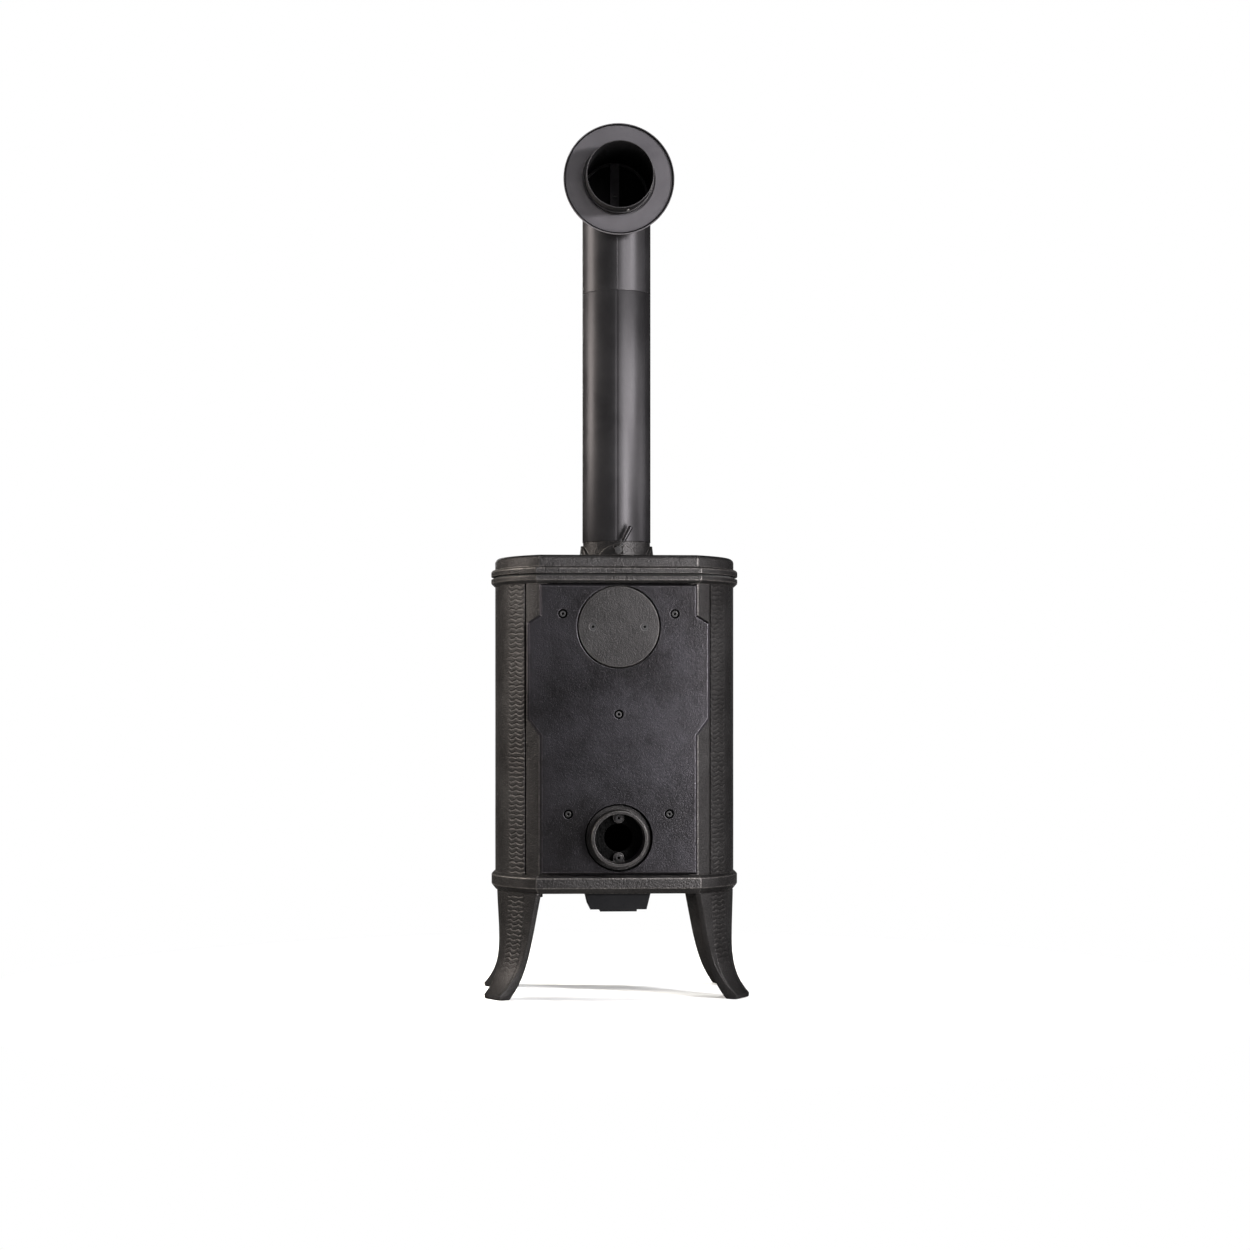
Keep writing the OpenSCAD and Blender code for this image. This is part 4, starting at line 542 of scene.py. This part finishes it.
def side_panel(name, side):
    """Curved panel, smooth in the middle, with a band of shingles beside each groove."""
    arc = PANEL_ANGLE * SIDE_R
    fine = np.arange(-arc, -arc + BAND_W + BAND_MARGIN, PANEL_STEP)
    plain = np.linspace(fine[-1] + PLAIN_FROM, -fine[-1] - PLAIN_FROM, PANEL_PLAIN_POINTS)
    across = np.concatenate([fine, plain, -fine[::-1]])
    heights = np.linspace(PANEL_LOW, PANEL_HIGH, int((PANEL_HIGH - PANEL_LOW) / PANEL_ROW_STEP))
    seed = 11 if side > 0 else 23
    depth = uneven(across, heights, PANEL_LUMP, PANEL_LUMP_DEPTH, seed)
    wear = np.zeros_like(depth)
    for end in (-1, 1):
        from_edge = arc - end * across
        share = np.clip((BAND_W - from_edge) / BAND_FADE, 0, 1)
        rows, crest = shingle_depth(from_edge, heights, PANEL_LOW, PANEL_HIGH, seed + end)
        depth += share * rows
        wear += share * crest
    depth += rounded(arc - np.abs(across), PANEL_EDGE)
    inner = np.linspace(arc, -arc, PANEL_INNER_POINTS)
    angles = np.concatenate([across, inner]) / SIDE_R
    rings = []
    marks = []
    for i, z in enumerate(heights):
        radii = np.concatenate([SIDE_R - depth[i], np.full(len(inner), SIDE_R - PANEL_T)])
        rings.append([(side * (SIDE_X + r * math.cos(a)), MID_Y + r * math.sin(a), z)
                      for r, a in zip(radii, angles)])
        marks.append(np.concatenate([wear[i], np.zeros(len(inner))]))
    mesh = mesh_from(name, points_of(rings), skin(rings), np.concatenate(marks))
    return piece(name, mesh, cast_iron, "cast_iron", "stove", "side_panel_" + name.split("_")[-1])


side_panel("panel_left", -1)
side_panel("panel_right", 1)


# Legs, each drawn in its own frame: X outward, Y along the body, then turned into place

LEG_H = 174 * MM
LEG_TURN = 0.58 * math.degrees(math.acos(((BODY_HALF_W - SIDE_RISE) - SIDE_X) / SIDE_R))
TOE_REACH, TOE_BACK, TOE_POWER = 38 * MM, 26 * MM, 5
TOE_FACE_H = 7 * MM
LEG_WALL = 8 * MM
FOOT_HALF, TOP_HALF = 23 * MM, 61.5 * MM
PAD_IN_R, PAD_OUT_R, PAD_ANGLE, PAD_STEPS, PAD_EDGE = 132 * MM, 166 * MM, 14, 16, 1 * MM
LEG_STEP, LEG_POINTS, LEG_RELIEF_POINTS, LEG_INNER_POINTS = 0.8 * MM, 116, 150, 14
LEG_LUMP, LEG_LUMP_DEPTH = 50 * MM, 0.3 * MM
LEG_LINE, LEG_LINE_LEAN = 22.6 * MM, 0.0685
LEG_LINE_HALF_W = LEG_LINE_DEPTH = 0.9 * MM
LEG_LINE_FADE = 1.5 * MM
LEG_BAND_FROM, LEG_BAND_RISE = 30 * MM, 35 * MM
LEG_SIDE_R, LEG_FOOT_R, LEG_TOP_R = 1.8 * MM, 2.2 * MM, 0.8 * MM


def leg_out(z):
    """Radius of the leg's outer face, which sweeps out to the toe."""
    return SIDE_R + TOE_REACH * (1 - max(z - TOE_FACE_H, 0) / (LEG_H - TOE_FACE_H)) ** TOE_POWER


def leg_in(z):
    """Radius of the leg's inner face."""
    return SIDE_R - LEG_WALL + TOE_BACK * (1 - z / LEG_H) ** TOE_POWER


def leg(name, side, end):
    """Cast leg: shingles toward the side's middle, a fine groove, then a plain strip."""
    toe = np.linspace(0, TOE_FACE_H, 8)
    heights = np.concatenate([toe, np.arange(TOE_FACE_H + 0.7 * MM, LEG_H, LEG_STEP), [LEG_H]])
    shares = np.linspace(-1, 1, LEG_POINTS)
    seed = 40 + 2 * side + end
    crossing = np.linspace(-TOP_HALF, TOP_HALF, LEG_RELIEF_POINTS)
    rows, crest = shingle_depth(crossing, heights, 0, LEG_H, seed)
    rough = uneven(crossing, heights, LEG_LUMP, LEG_LUMP_DEPTH, seed)
    turn = math.radians(LEG_TURN)
    verts, marks = [], []
    inner_shares = np.linspace(1, -1, LEG_INNER_POINTS)
    for i, z in enumerate(heights):
        half = FOOT_HALF + (TOP_HALF - FOOT_HALF) * z / LEG_H
        y = shares * half
        line = LEG_LINE + LEG_LINE_LEAN * z
        band = np.clip((line - y) / LEG_LINE_FADE, 0, 1) * np.clip((y - line + BAND_W) / BAND_FADE, 0, 1)
        band *= min(max((z - LEG_BAND_FROM) / LEG_BAND_RISE, 0), 1)
        groove = LEG_LINE_DEPTH * np.exp(-((y - line) / LEG_LINE_HALF_W) ** 2)
        depth = band * np.interp(y, crossing, rows[i]) + groove + np.interp(y, crossing, rough[i])
        depth += rounded(half - np.abs(y), LEG_SIDE_R)
        foot = float(rounded(np.array(z), LEG_FOOT_R)) + float(rounded(np.array(LEG_H - z), LEG_TOP_R))
        r_out = leg_out(z) - depth - foot
        x = np.sqrt(r_out ** 2 - y ** 2)
        back_y = inner_shares * half
        back_x = np.sqrt((leg_in(z) + foot * 0.5) ** 2 - back_y ** 2)
        for px, py in zip(np.concatenate([x, back_x]), np.concatenate([y, back_y])):
            across = math.cos(turn) * px - math.sin(turn) * py
            along = math.sin(turn) * px + math.cos(turn) * py
            verts.append((side * (SIDE_X + across), MID_Y + end * along, z))
        marks.append(np.concatenate([band * np.interp(y, crossing, crest[i]), np.zeros(len(back_y))]))
    count = len(shares) + len(inner_shares)
    faces = skin([range(count)] * len(heights))
    first = len(verts)
    arc = [math.radians(-PAD_ANGLE + 2 * PAD_ANGLE * k / PAD_STEPS) + turn for k in range(PAD_STEPS + 1)]
    outline = [(PAD_IN_R, a) for a in arc] + [(PAD_OUT_R, a) for a in reversed(arc)]
    pad_levels = ((LEG_H - LEG_WALL, PAD_EDGE), (LEG_H - LEG_WALL + PAD_EDGE, 0.0), (LEG_H, 0.0))
    for z, back in pad_levels:
        for r, a in outline:
            r = r + back if r == PAD_IN_R else r
            verts.append((side * (SIDE_X + r * math.cos(a)), MID_Y + end * r * math.sin(a), z))
    faces += [tuple(first + k for k in face) for face in skin([outline] * len(pad_levels))]
    marks.append(np.zeros(len(outline) * len(pad_levels)))
    mesh = mesh_from(name, verts, faces, np.concatenate(marks))
    return piece(name, mesh, cast_iron, "cast_iron", "stove", name.replace("cast_leg", "leg"))


for end_name, end in (("rear", 1), ("front", -1)):
    for side_name, side in (("left", -1), ("right", 1)):
        leg("cast_leg_%s_%s" % (end_name, side_name), side, end)


# Ropes

ROPE_STRANDS, ROPE_BITE, ROPE_POINTS = 3, 0.14, 24
ROPE_SQUARENESS = 0.55


def rope_section(width, height, turn):
    """Flattened rope section whose strands wind round as the turn grows."""
    points = []
    for a in turns(ROPE_POINTS):
        r = 1 - ROPE_BITE * abs(math.sin((ROPE_STRANDS * a + turn) / 2)) ** 1.5
        c, s = math.cos(a), math.sin(a)
        square = max(abs(c), abs(s)) ** ROPE_SQUARENESS
        points.append((width / 2 * c * r / square, height / 2 * s * r / square))
    return points


def rope_along(name, path, width, height, up, pitch, body, node):
    """Closed rope: its section lies across the path, its height along the given axis."""
    up = Vector(up)
    rings = []
    total = 0.0
    for i, point in enumerate(path):
        ahead = Vector(path[(i + 1) % len(path)]) - Vector(path[i - 1])
        out = ahead.cross(up).normalized()
        total += ahead.length / 2
        rings.append([Vector(point) + out * a + up * b
                      for a, b in rope_section(width, height, 2 * math.pi * total / pitch)])
    mesh = mesh_from(name, points_of(rings), skin(rings, path_closed=True))
    return piece(name, mesh, rope, "sealing_rope", body, node)


def plan_path(inset, step):
    """Closed outline of the body's plan, moved in by an inset."""
    r = SIDE_R - inset
    half_d = BODY_HALF_D - inset
    reach = math.asin(half_d / r)
    corner_x = SIDE_X + r * math.cos(reach)
    side_steps = 120
    arc = [reach * (2 * k / side_steps - 1) for k in range(side_steps + 1)]
    count = int(2 * corner_x / step)
    rear = [(corner_x * (1 - 2 * k / count), MID_Y + half_d) for k in range(1, count)]
    right = [(SIDE_X + r * math.cos(a), MID_Y + r * math.sin(a)) for a in arc]
    left = [(-x, 2 * MID_Y - y) for x, y in right]
    front = [(-x, 2 * MID_Y - y) for x, y in rear]
    return right + rear + left + front


gasket_low, gasket_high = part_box("top_gasket")
GASKET_W, GASKET_INSET, GASKET_PITCH, GASKET_STEP = 7.5 * MM, 0.5 * MM, 9 * MM, 3 * MM
gasket_z = middle("top_gasket").z
rope_along("top_rope", [(x, y, gasket_z) for x, y in plan_path(GASKET_INSET + GASKET_W / 2, GASKET_STEP)],
           GASKET_W, gasket_high.z - gasket_low.z, (0, 0, 1), GASKET_PITCH, "stove", "top_gasket")


def round_rect_path(half_w, low, high, radius, y, step):
    """Closed rounded rectangle that faces along Y."""
    corner_steps = 8
    points = []
    corners = ((half_w - radius, high - radius, 0), (-half_w + radius, high - radius, 90),
               (-half_w + radius, low + radius, 180), (half_w - radius, low + radius, 270))
    for x, z, start in corners:
        for k in range(corner_steps + 1):
            a = math.radians(start + 90 * k / corner_steps)
            points.append(Vector((x + radius * math.cos(a), y, z + radius * math.sin(a))))
    dense = []
    for a, b in zip(points, points[1:] + points[:1]):
        count = max(1, int((b - a).length / step))
        dense += [a + (b - a) * k / count for k in range(count)]
    return dense


door_rope_low, door_rope_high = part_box("door_gasket")
ROPE_W, ROPE_CORNER_R, ROPE_PITCH, ROPE_STEP = 8 * MM, 5 * MM, 10 * MM, 1.8 * MM
rope_along("door_rope",
           round_rect_path(door_rope_high.x - ROPE_W / 2, door_rope_low.z + ROPE_W / 2,
                           door_rope_high.z - ROPE_W / 2, ROPE_CORNER_R, middle("door_gasket").y, ROPE_STEP),
           ROPE_W, door_rope_high.y - door_rope_low.y, (0, 1, 0), ROPE_PITCH, "door", "door_gasket")


# Flue

def lathe(outline, center, axis, segments, shape=None):
    """Points and faces of a closed outline of (radius, place) turned round an axis, Y or Z."""
    rings = []
    for a in turns(segments):
        ring = []
        for r, t in outline:
            r = shape(r, t, a) if shape else r
            c, s = r * math.cos(a), r * math.sin(a)
            ring.append(Vector(center) + (Vector((c, s, t)) if axis == "Z" else Vector((c, t, s))))
        rings.append(ring)
    return points_of(rings), skin(rings, path_closed=True)


PIPE_WALL = 1.2 * MM
pipe_low, pipe_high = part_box("flue_pipe")
PIPE_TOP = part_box("flue_elbow")[0].z
SPIGOT_R = 54.75 * MM
END_ROUND = 1.3 * MM
SEAM_ANGLE = math.radians(90 - 2.2)
SEAM_DEPTH, SEAM_HALF_W = 0.45 * MM, 0.9 * MM


def seamed(r, t, a):
    """The pipe's wall falls in a little along its weld."""
    away = (a - SEAM_ANGLE) * PIPE_R
    return r - SEAM_DEPTH * math.exp(-(away / SEAM_HALF_W) ** 2)


pipe_outline = [
    (PIPE_R - PIPE_WALL, pipe_low.z), (PIPE_R - END_ROUND, pipe_low.z),
    (PIPE_R - 0.3 * END_ROUND, pipe_low.z + 0.3 * END_ROUND), (PIPE_R, pipe_low.z + END_ROUND),
    (PIPE_R, (pipe_low.z + PIPE_TOP) / 2),
    (PIPE_R, PIPE_TOP - END_ROUND), (PIPE_R - 0.3 * END_ROUND, PIPE_TOP - 0.3 * END_ROUND),
    (PIPE_R - END_ROUND, PIPE_TOP),
    (SPIGOT_R, PIPE_TOP), (SPIGOT_R, pipe_high.z - END_ROUND), (SPIGOT_R - PIPE_WALL / 2, pipe_high.z),
    (SPIGOT_R - PIPE_WALL, pipe_high.z), (SPIGOT_R - PIPE_WALL, PIPE_TOP - PIPE_WALL),
    (PIPE_R - PIPE_WALL, PIPE_TOP - PIPE_WALL),
]
pipe_mesh = mesh_from("pipe", *lathe(pipe_outline, (0, FLUE_Y, 0), "Z", 240, seamed))
piece("pipe", pipe_mesh, flue_steel, "flue_steel", "stove", "flue_pipe")

RIDGE_HALF_W, RIDGE_H, RIDGE_SINK, RIDGE_ROWS = 0.7 * MM, 0.35 * MM, 0.6 * MM, 40
RIDGE_GAP, RIDGE_OVERRUN = 1.5 * MM, 30 * MM
rosette_low, rosette_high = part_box("wall_rosette")


def seam_strip(name, low, high):
    """Weld line up the rear of the tube, a low rounded ridge sunk a little into the wall."""
    across = [(step * RIDGE_HALF_W, RIDGE_H * (1 - step ** 2)) for step in (-1, -0.6, 0, 0.6, 1)]
    across.append((0.0, -RIDGE_SINK))
    rings = []
    for z in np.linspace(low, high, RIDGE_ROWS):
        ring = []
        for away, rise in across:
            a = SEAM_ANGLE + away / PIPE_R
            ring.append(((PIPE_R + rise) * math.cos(a), FLUE_Y + (PIPE_R + rise) * math.sin(a), z))
        rings.append(ring)
    mesh = mesh_from(name, points_of(rings), skin(rings))
    return piece(name, mesh, flue_steel, "flue_steel", "stove")


seam_strip("elbow_seam", PIPE_TOP + RIDGE_GAP, FLUE_Z - rosette_high.x + RIDGE_OVERRUN)


# Painted shade: dark bead along the rosette's edge, for its rim's side in shade; set screw of its collar;
# black rings of painted shade under the shield's screws

BEAD_R, BEAD_POINTS = 1.7 * MM, 14
bead = [(rosette_high.x - BEAD_R + BEAD_R * math.cos(a), rosette_high.y - BEAD_R + BEAD_R * math.sin(a))
        for a in turns(BEAD_POINTS)]
bead_mesh = mesh_from("rosette_shade_edge", *lathe(bead, (0, 0, FLUE_Z), "Y", 180))
# The bead's near-black colour is painted shade along the rosette's rim.
piece("rosette_shade_edge", bead_mesh, sheet_steel, "rosette_steel", "rosette")

SCREW_TURN, SCREW_LEAN = math.radians(14), 0.35
SCREW_OUT, SCREW_BACK = 60 * MM, 17.5 * MM
# (radius, depth) in mm: socket floor, socket wall, rounded end, shank
SCREW_OUTLINE = [(0.0, 1.4), (1.1, 1.4), (1.2, 0.2), (1.9, 0.0), (2.3, 0.4), (2.3, 3.0),
                 (1.8, 3.4), (0.0, 3.4)]


def set_screw(name, place, axis, material, slot, body):
    """Small socket screw whose open end looks along the axis."""
    turn = axis.to_track_quat("Z", "Y").to_matrix()
    rings = [[place + turn @ (Vector((r * math.cos(a), r * math.sin(a), -t)) * MM) for r, t in SCREW_OUTLINE]
             for a in turns(24)]
    mesh = mesh_from(name, points_of(rings), skin(rings, ring_closed=False, caps=False, path_closed=True))
    bm = bmesh.new()
    bm.from_mesh(mesh)
    bmesh.ops.remove_doubles(bm, verts=bm.verts, dist=SAME_POINT)
    bm.to_mesh(mesh)
    bm.free()
    return piece(name, mesh, material, slot, body)


screw_axis = Vector((-math.sin(SCREW_TURN), SCREW_LEAN, -math.cos(SCREW_TURN))).normalized()
set_screw("rosette_set_screw", Vector((0, rosette_low.y + SCREW_BACK, FLUE_Z)) + screw_axis * SCREW_OUT,
          screw_axis, bare_steel, "rosette_steel", "rosette")

SHADE_RING_IN, SHADE_RING_OUT, SHADE_RING_T, SHADE_RING_EDGE = 3.0 * MM, 8.4 * MM, 0.5 * MM, 0.2 * MM
HAIR = 0.01 * MM
SHIELD_FLOOR = REAR_Y + 2 * MM
# The shield's five screws, (x, z) in mm
SCREW_PLACES = ((-91, 628.7), (91, 628.7), (0, 465.6), (-82, 303.6), (82, 303.6))
# Near-black rings under the screw heads: painted shade in the recesses round them.
shade_ring = [(SHADE_RING_IN, HAIR), (SHADE_RING_OUT, HAIR), (SHADE_RING_OUT, SHADE_RING_T - SHADE_RING_EDGE),
          (SHADE_RING_OUT - SHADE_RING_EDGE, SHADE_RING_T), (SHADE_RING_IN + SHADE_RING_EDGE, SHADE_RING_T),
          (SHADE_RING_IN, SHADE_RING_T - SHADE_RING_EDGE)]
for number, (x, z) in enumerate(SCREW_PLACES, 1):
    ring = mesh_from("shade_ring", *lathe(shade_ring, (x * MM, SHIELD_FLOOR, z * MM), "Y", 48))
    piece("shield_washer_%d" % number, ring, rubber_and_shade_black, "sealing_rope", "stove")


# Painted shade in the screws' sockets: black discs from just inside the head down to the floor

SOCKET_R, SOCKET_FLOOR, SOCKET_SEEN = 2.15 * MM, 1.65 * MM, 0.3 * MM
cover_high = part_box("cover_screws")[1]
inlet_low, inlet_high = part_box("air_inlet_screws")
COVER_HEAD_R = 6.2 * MM
cover_z = middle("cover_screws").z
sockets = [("shield", x * MM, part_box("shield_screws")[1].y, z * MM) for x, z in SCREW_PLACES]
sockets += [("cover", side * (cover_high.x - COVER_HEAD_R), cover_high.y, cover_z) for side in (-1, 1)]
inlet_half = (inlet_high.x - inlet_low.x) / 2
sockets += [("inlet", 0.0, inlet_high.y, z) for z in (inlet_low.z + inlet_half, inlet_high.z - inlet_half)]
for number, (owner, x, top, z) in enumerate(sockets, 1):
    socket = [(2 * HAIR, top - SOCKET_SEEN - 5 * HAIR), (SOCKET_R, top - SOCKET_SEEN),
              (SOCKET_R, top - SOCKET_FLOOR), (2 * HAIR, top - SOCKET_FLOOR)]
    shade_disc = mesh_from("socket", *lathe(socket, (x, 0, z), "Y", 24))
    piece("%s_socket_%d" % (owner, number), shade_disc, rubber_and_shade_black, "bare_steel", "stove")


# Lever of the damper: twisted wire and grip, leaning as the blade does

LEVER_Y = middle("damper_lever").y
DAMPER_Z = middle("damper_spindle").z
LEAN = math.radians(28)
lever_axis = Vector((-math.sin(LEAN), 0, math.cos(LEAN)))
lever_side = Vector((math.cos(LEAN), 0, math.sin(LEAN)))


def lever_part(name, mesh, material, *nodes):
    """Piece of the lever, which turns with the damper."""
    return piece(name, mesh, material, "bare_steel", "damper", *nodes)


def turned(name, outline, ribs=0.0, twist=0.0):
    """Closed turned form about the lever's axis; two lobes may wind along it."""
    lobes = 2
    rings = []
    for r, t in outline:
        ring = []
        for a in turns(40):
            wave = 1 - ribs * (0.5 + 0.5 * math.cos(lobes * a + twist * t))
            ring.append(Vector((0, LEVER_Y, DAMPER_Z)) + lever_axis * t
                        + lever_side * (r * wave * math.cos(a)) + Vector((0, r * wave * math.sin(a), 0)))
        rings.append(ring)
    return mesh_from(name, points_of(rings), skin(rings))


WIRE_R, WIRE_PITCH, WIRE_BITE = 1.8 * MM, 6.5 * MM, 0.45
WIRE_FROM, WIRE_STEP, WIRE_ROWS = 4 * MM, 0.25 * MM, 58
wire = [(WIRE_R, WIRE_FROM + WIRE_STEP * k) for k in range(WIRE_ROWS)]
lever_part("lever_wire", turned("lever_wire", wire, WIRE_BITE, 2 * math.pi / WIRE_PITCH), dark_steel)
# (radius, place along the lever) in mm
grip_outline = [(2.6, 16), (3.4, 16.1), (3.8, 16.7), (3.8, 18.2), (3.3, 18.6), (3.3, 19.2), (3.75, 19.6),
                (3.8, 40.8), (3.7, 42.0), (3.2, 42.7), (2.2, 43)]
grip_outline = [(r * MM, t * MM) for r, t in grip_outline]
lever_part("lever_grip", turned("lever_grip", grip_outline), grip_steel, "damper_grip")


# Knob of the clean-out cover, with finger hollows

knob_low, knob_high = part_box("cleanout_knob")
KNOB_R = knob_high.x
KNOB_RIM_R, HOLLOWS, HOLLOW_SHARE = 8 * MM, 7, 0.07
# (radius, place behind the knob's face) in mm, from the stem's root over the rim to the face
knob_points = ((3, 14), (11, 14), (12.6, 13), (KNOB_R / MM, 11), (KNOB_R / MM, 5), (12.2, 2.2),
               (10, 0.6), (6, 0), (0.5, 0.4))
knob_outline = [(3 * MM, knob_high.y), *((r * MM, knob_low.y + t * MM) for r, t in knob_points),
                (0.5 * MM, knob_high.y)]


def lobed(r, t, a):
    """Finger hollows in the knob's rim."""
    if r < KNOB_RIM_R:
        return r
    return r * (1 - HOLLOW_SHARE * (0.5 - 0.5 * math.cos(HOLLOWS * a)) ** 2)


knob_mesh = mesh_from("knob", *lathe(knob_outline, (0, 0, FLUE_Z), "Y", 140, lobed))
piece("cleanout_knob_moulded", knob_mesh, plastic, "knob_plastic", "cleanout", "cleanout_knob")


# Other nodes keep their solid's shape, with rounded edges

FINISH = {
    "cast_iron": cast_iron, "shield_iron": shield_iron, "flue_steel": flue_steel,
    "rosette_steel": rosette_steel, "sheet_steel": sheet_steel, "bare_steel": bare_steel,
    "knob_plastic": plastic, "handle_wood": grip_wood, "sealing_rope": rope,
    "fire_lining": lining, "door_glass": window,
}
OWN_FINISH = {
    "flue_cover": smooth_iron, "air_inlet_spigot": smooth_iron, "fire_grate": grate_iron,
    "shield_screws": black_screw, "cover_screws": black_screw, "air_inlet_screws": black_screw,
    # The rear wall's finish carries painted shade round the air inlet.
    "damper_lever": black_screw, "damper_spindle": black_screw, "rear_wall": wall_iron_painted_shade,
    "cleanout_strap": rosette_steel, "cleanout_cover": sheet_steel, "air_duct": rubber_and_shade_black,
}
# Radius of each node's rounded edges in mm
ROUNDING = {
    "base_casting": 1.1, "top_frame": 1.1, "top_plate": 1.2, "rear_wall": 1.0, "front_frame": 0.9,
    "rear_shield": 0.6, "flue_collar": 0.7, "flue_cover": 0.5, "air_inlet_spigot": 0.5,
    "ash_lip": 1.0, "door_frame": 0.4, "ash_pan_front": 1.0, "firebed_plate": 0.6, "log_guard": 1.0,
    "fire_grate": 0.8, "rear_burn_plate": 1.2, "side_burn_plate_left": 1.2,
    "side_burn_plate_right": 1.2, "baffle_plate": 1.0, "door_handle": 0.35, "handle_grip": 0.8,
    "flue_elbow": 0.35, "cleanout_cover": 0.35, "wall_rosette": 0.3, "cover_bridge": 0.8,
    "hinge_pins": 0.1, "air_box": 0.6, "door_glass": 0.5, "ash_pan_knob": 0.5,
}
SMALL_ROUNDING = 0.2

slots = {}
for row in frame["record"]["subparts"]:
    for node in row.get("nodes", [row.get("node", row.get("name"))]):
        slots[node] = row["material_slot"]

for node, shape in frame["nodes"].items():
    if shape.hide_render:
        continue
    slot = slots[node]
    mesh = softened(node, ROUNDING.get(node, SMALL_ROUNDING) * MM)
    material = OWN_FINISH.get(node, FINISH[slot])
    even_normals(piece(node + "_finished", mesh, material, slot, shape["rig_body"], node))


# Floor, lamps and world

def seen_ray(tree):
    """1 for the rays that show a background: from the camera, off gloss and through glass."""
    path = tree.nodes.new("ShaderNodeLightPath")
    seen = path.outputs["Is Camera Ray"]
    for name in ("Is Glossy Ray", "Is Transmission Ray"):
        either = tree.nodes.new("ShaderNodeMath")
        either.operation = "MAXIMUM"
        tree.links.new(seen, either.inputs[0])
        tree.links.new(path.outputs[name], either.inputs[1])
        seen = either.outputs[0]
    return seen


SHADOW_R, WHITE_R = 0.35, 1.1


def plain_floor():
    """Pale floor that keeps the stove's shadow and meets the white of the background."""
    s = Surface("floor", Base_Color=(0.9, 0.9, 0.9, 1.0), Roughness=0.9, Specular_IOR_Level=0.1)
    away = s.add("ShaderNodeVectorMath", operation="LENGTH")
    s.fill(away, {0: s.place})
    white = s.add("ShaderNodeEmission")
    blend = s.add("ShaderNodeMixShader")
    edge = s.math("MULTIPLY", s.remap(away.outputs["Value"], SHADOW_R, WHITE_R), seen_ray(s.tree))
    s.fill(blend, {0: edge, 1: s.shader.outputs["BSDF"], 2: white.outputs["Emission"]})
    s.join(blend.outputs[0], s.output.inputs["Surface"])
    return s.finish()


FLOOR_RADII = (0.2, 0.6, 1.2, 2.5, 5.0, 14.0)
FLOOR_SIDES = 96
rings = [[(r * math.cos(a), r * math.sin(a), 0.0) for a in turns(FLOOR_SIDES)] for r in FLOOR_RADII]
floor_faces = skin(rings, caps=False) + [tuple(range(FLOOR_SIDES))]
floor_mesh = mesh_from("floor", points_of(rings), floor_faces)
if floor_mesh.polygons[0].normal.z < 0:
    floor_mesh.flip_normals()
floor_mesh.materials.append(plain_floor())
floor = link("floor", floor_mesh)


def lamp(name, place, target, size, power, color):
    """Soft rectangular lamp that faces a point."""
    data = bpy.data.lights.new(name, "AREA")
    data.shape = "RECTANGLE"
    data.size, data.size_y = size
    data.energy = power
    data.color = color
    obj = bpy.data.objects.new(name, data)
    obj.location = place
    obj.rotation_euler = (Vector(target) - Vector(place)).to_track_quat("-Z", "Y").to_euler()
    obj.visible_camera = False
    bpy.context.scene.collection.objects.link(obj)
    return obj


def sheen_card(*row):
    """Lamp that shows in gloss only."""
    lamp(*row).visible_diffuse = False


# Name, place, target, width and height, watts, colour
lamp("key", (-3.0, 2.45, 1.75), (0, 0, 0.75), (0.5, 0.5), 270, (1.0, 0.99, 1.0))
sheen_card("low_card", (-0.56, 1.15, 0.47), (-0.1, 0.15, 0.42), (0.25, 1.0), 68, (1.0, 0.99, 1.0))
sheen_card("high_card", (-1.6, 3.3, 1.95), (0, 0, 1.2), (1.4, 1.0), 240, (1.0, 0.99, 1.0))
lamp("side_strip", (2.9, -0.5, 1.6), (0, 0, 0.85), (0.7, 1.8), 360, (1.0, 0.95, 0.87))
lamp("right_fill", (-3.1, 0.1, 0.75), (0, 0, 0.5), (0.9, 1.5), 85, (1.0, 0.99, 1.0))
lamp("top", (0.3, 0.5, 3.6), (0, 0, 0.6), (1.6, 1.6), 30, (1.0, 1.0, 1.0))
lamp("front_fill", (1.2, -3.3, 1.8), (0, 0, 0.6), (1.6, 1.6), 110, (1.0, 0.99, 0.97))

AMBIENT = 0.12

world = bpy.data.worlds.new("world")
world.use_nodes = True
tree = world.node_tree
background = tree.nodes["Background"]
background.inputs["Color"].default_value = (1.0, 1.0, 1.0, 1.0)
level = tree.nodes.new("ShaderNodeMapRange")
level.inputs["To Min"].default_value = AMBIENT
level.inputs["To Max"].default_value = 1.0
tree.links.new(seen_ray(tree), level.inputs["Value"])
tree.links.new(level.outputs[0], background.inputs["Strength"])
bpy.context.scene.world = world
bpy.context.scene.view_settings.view_transform = "Standard"
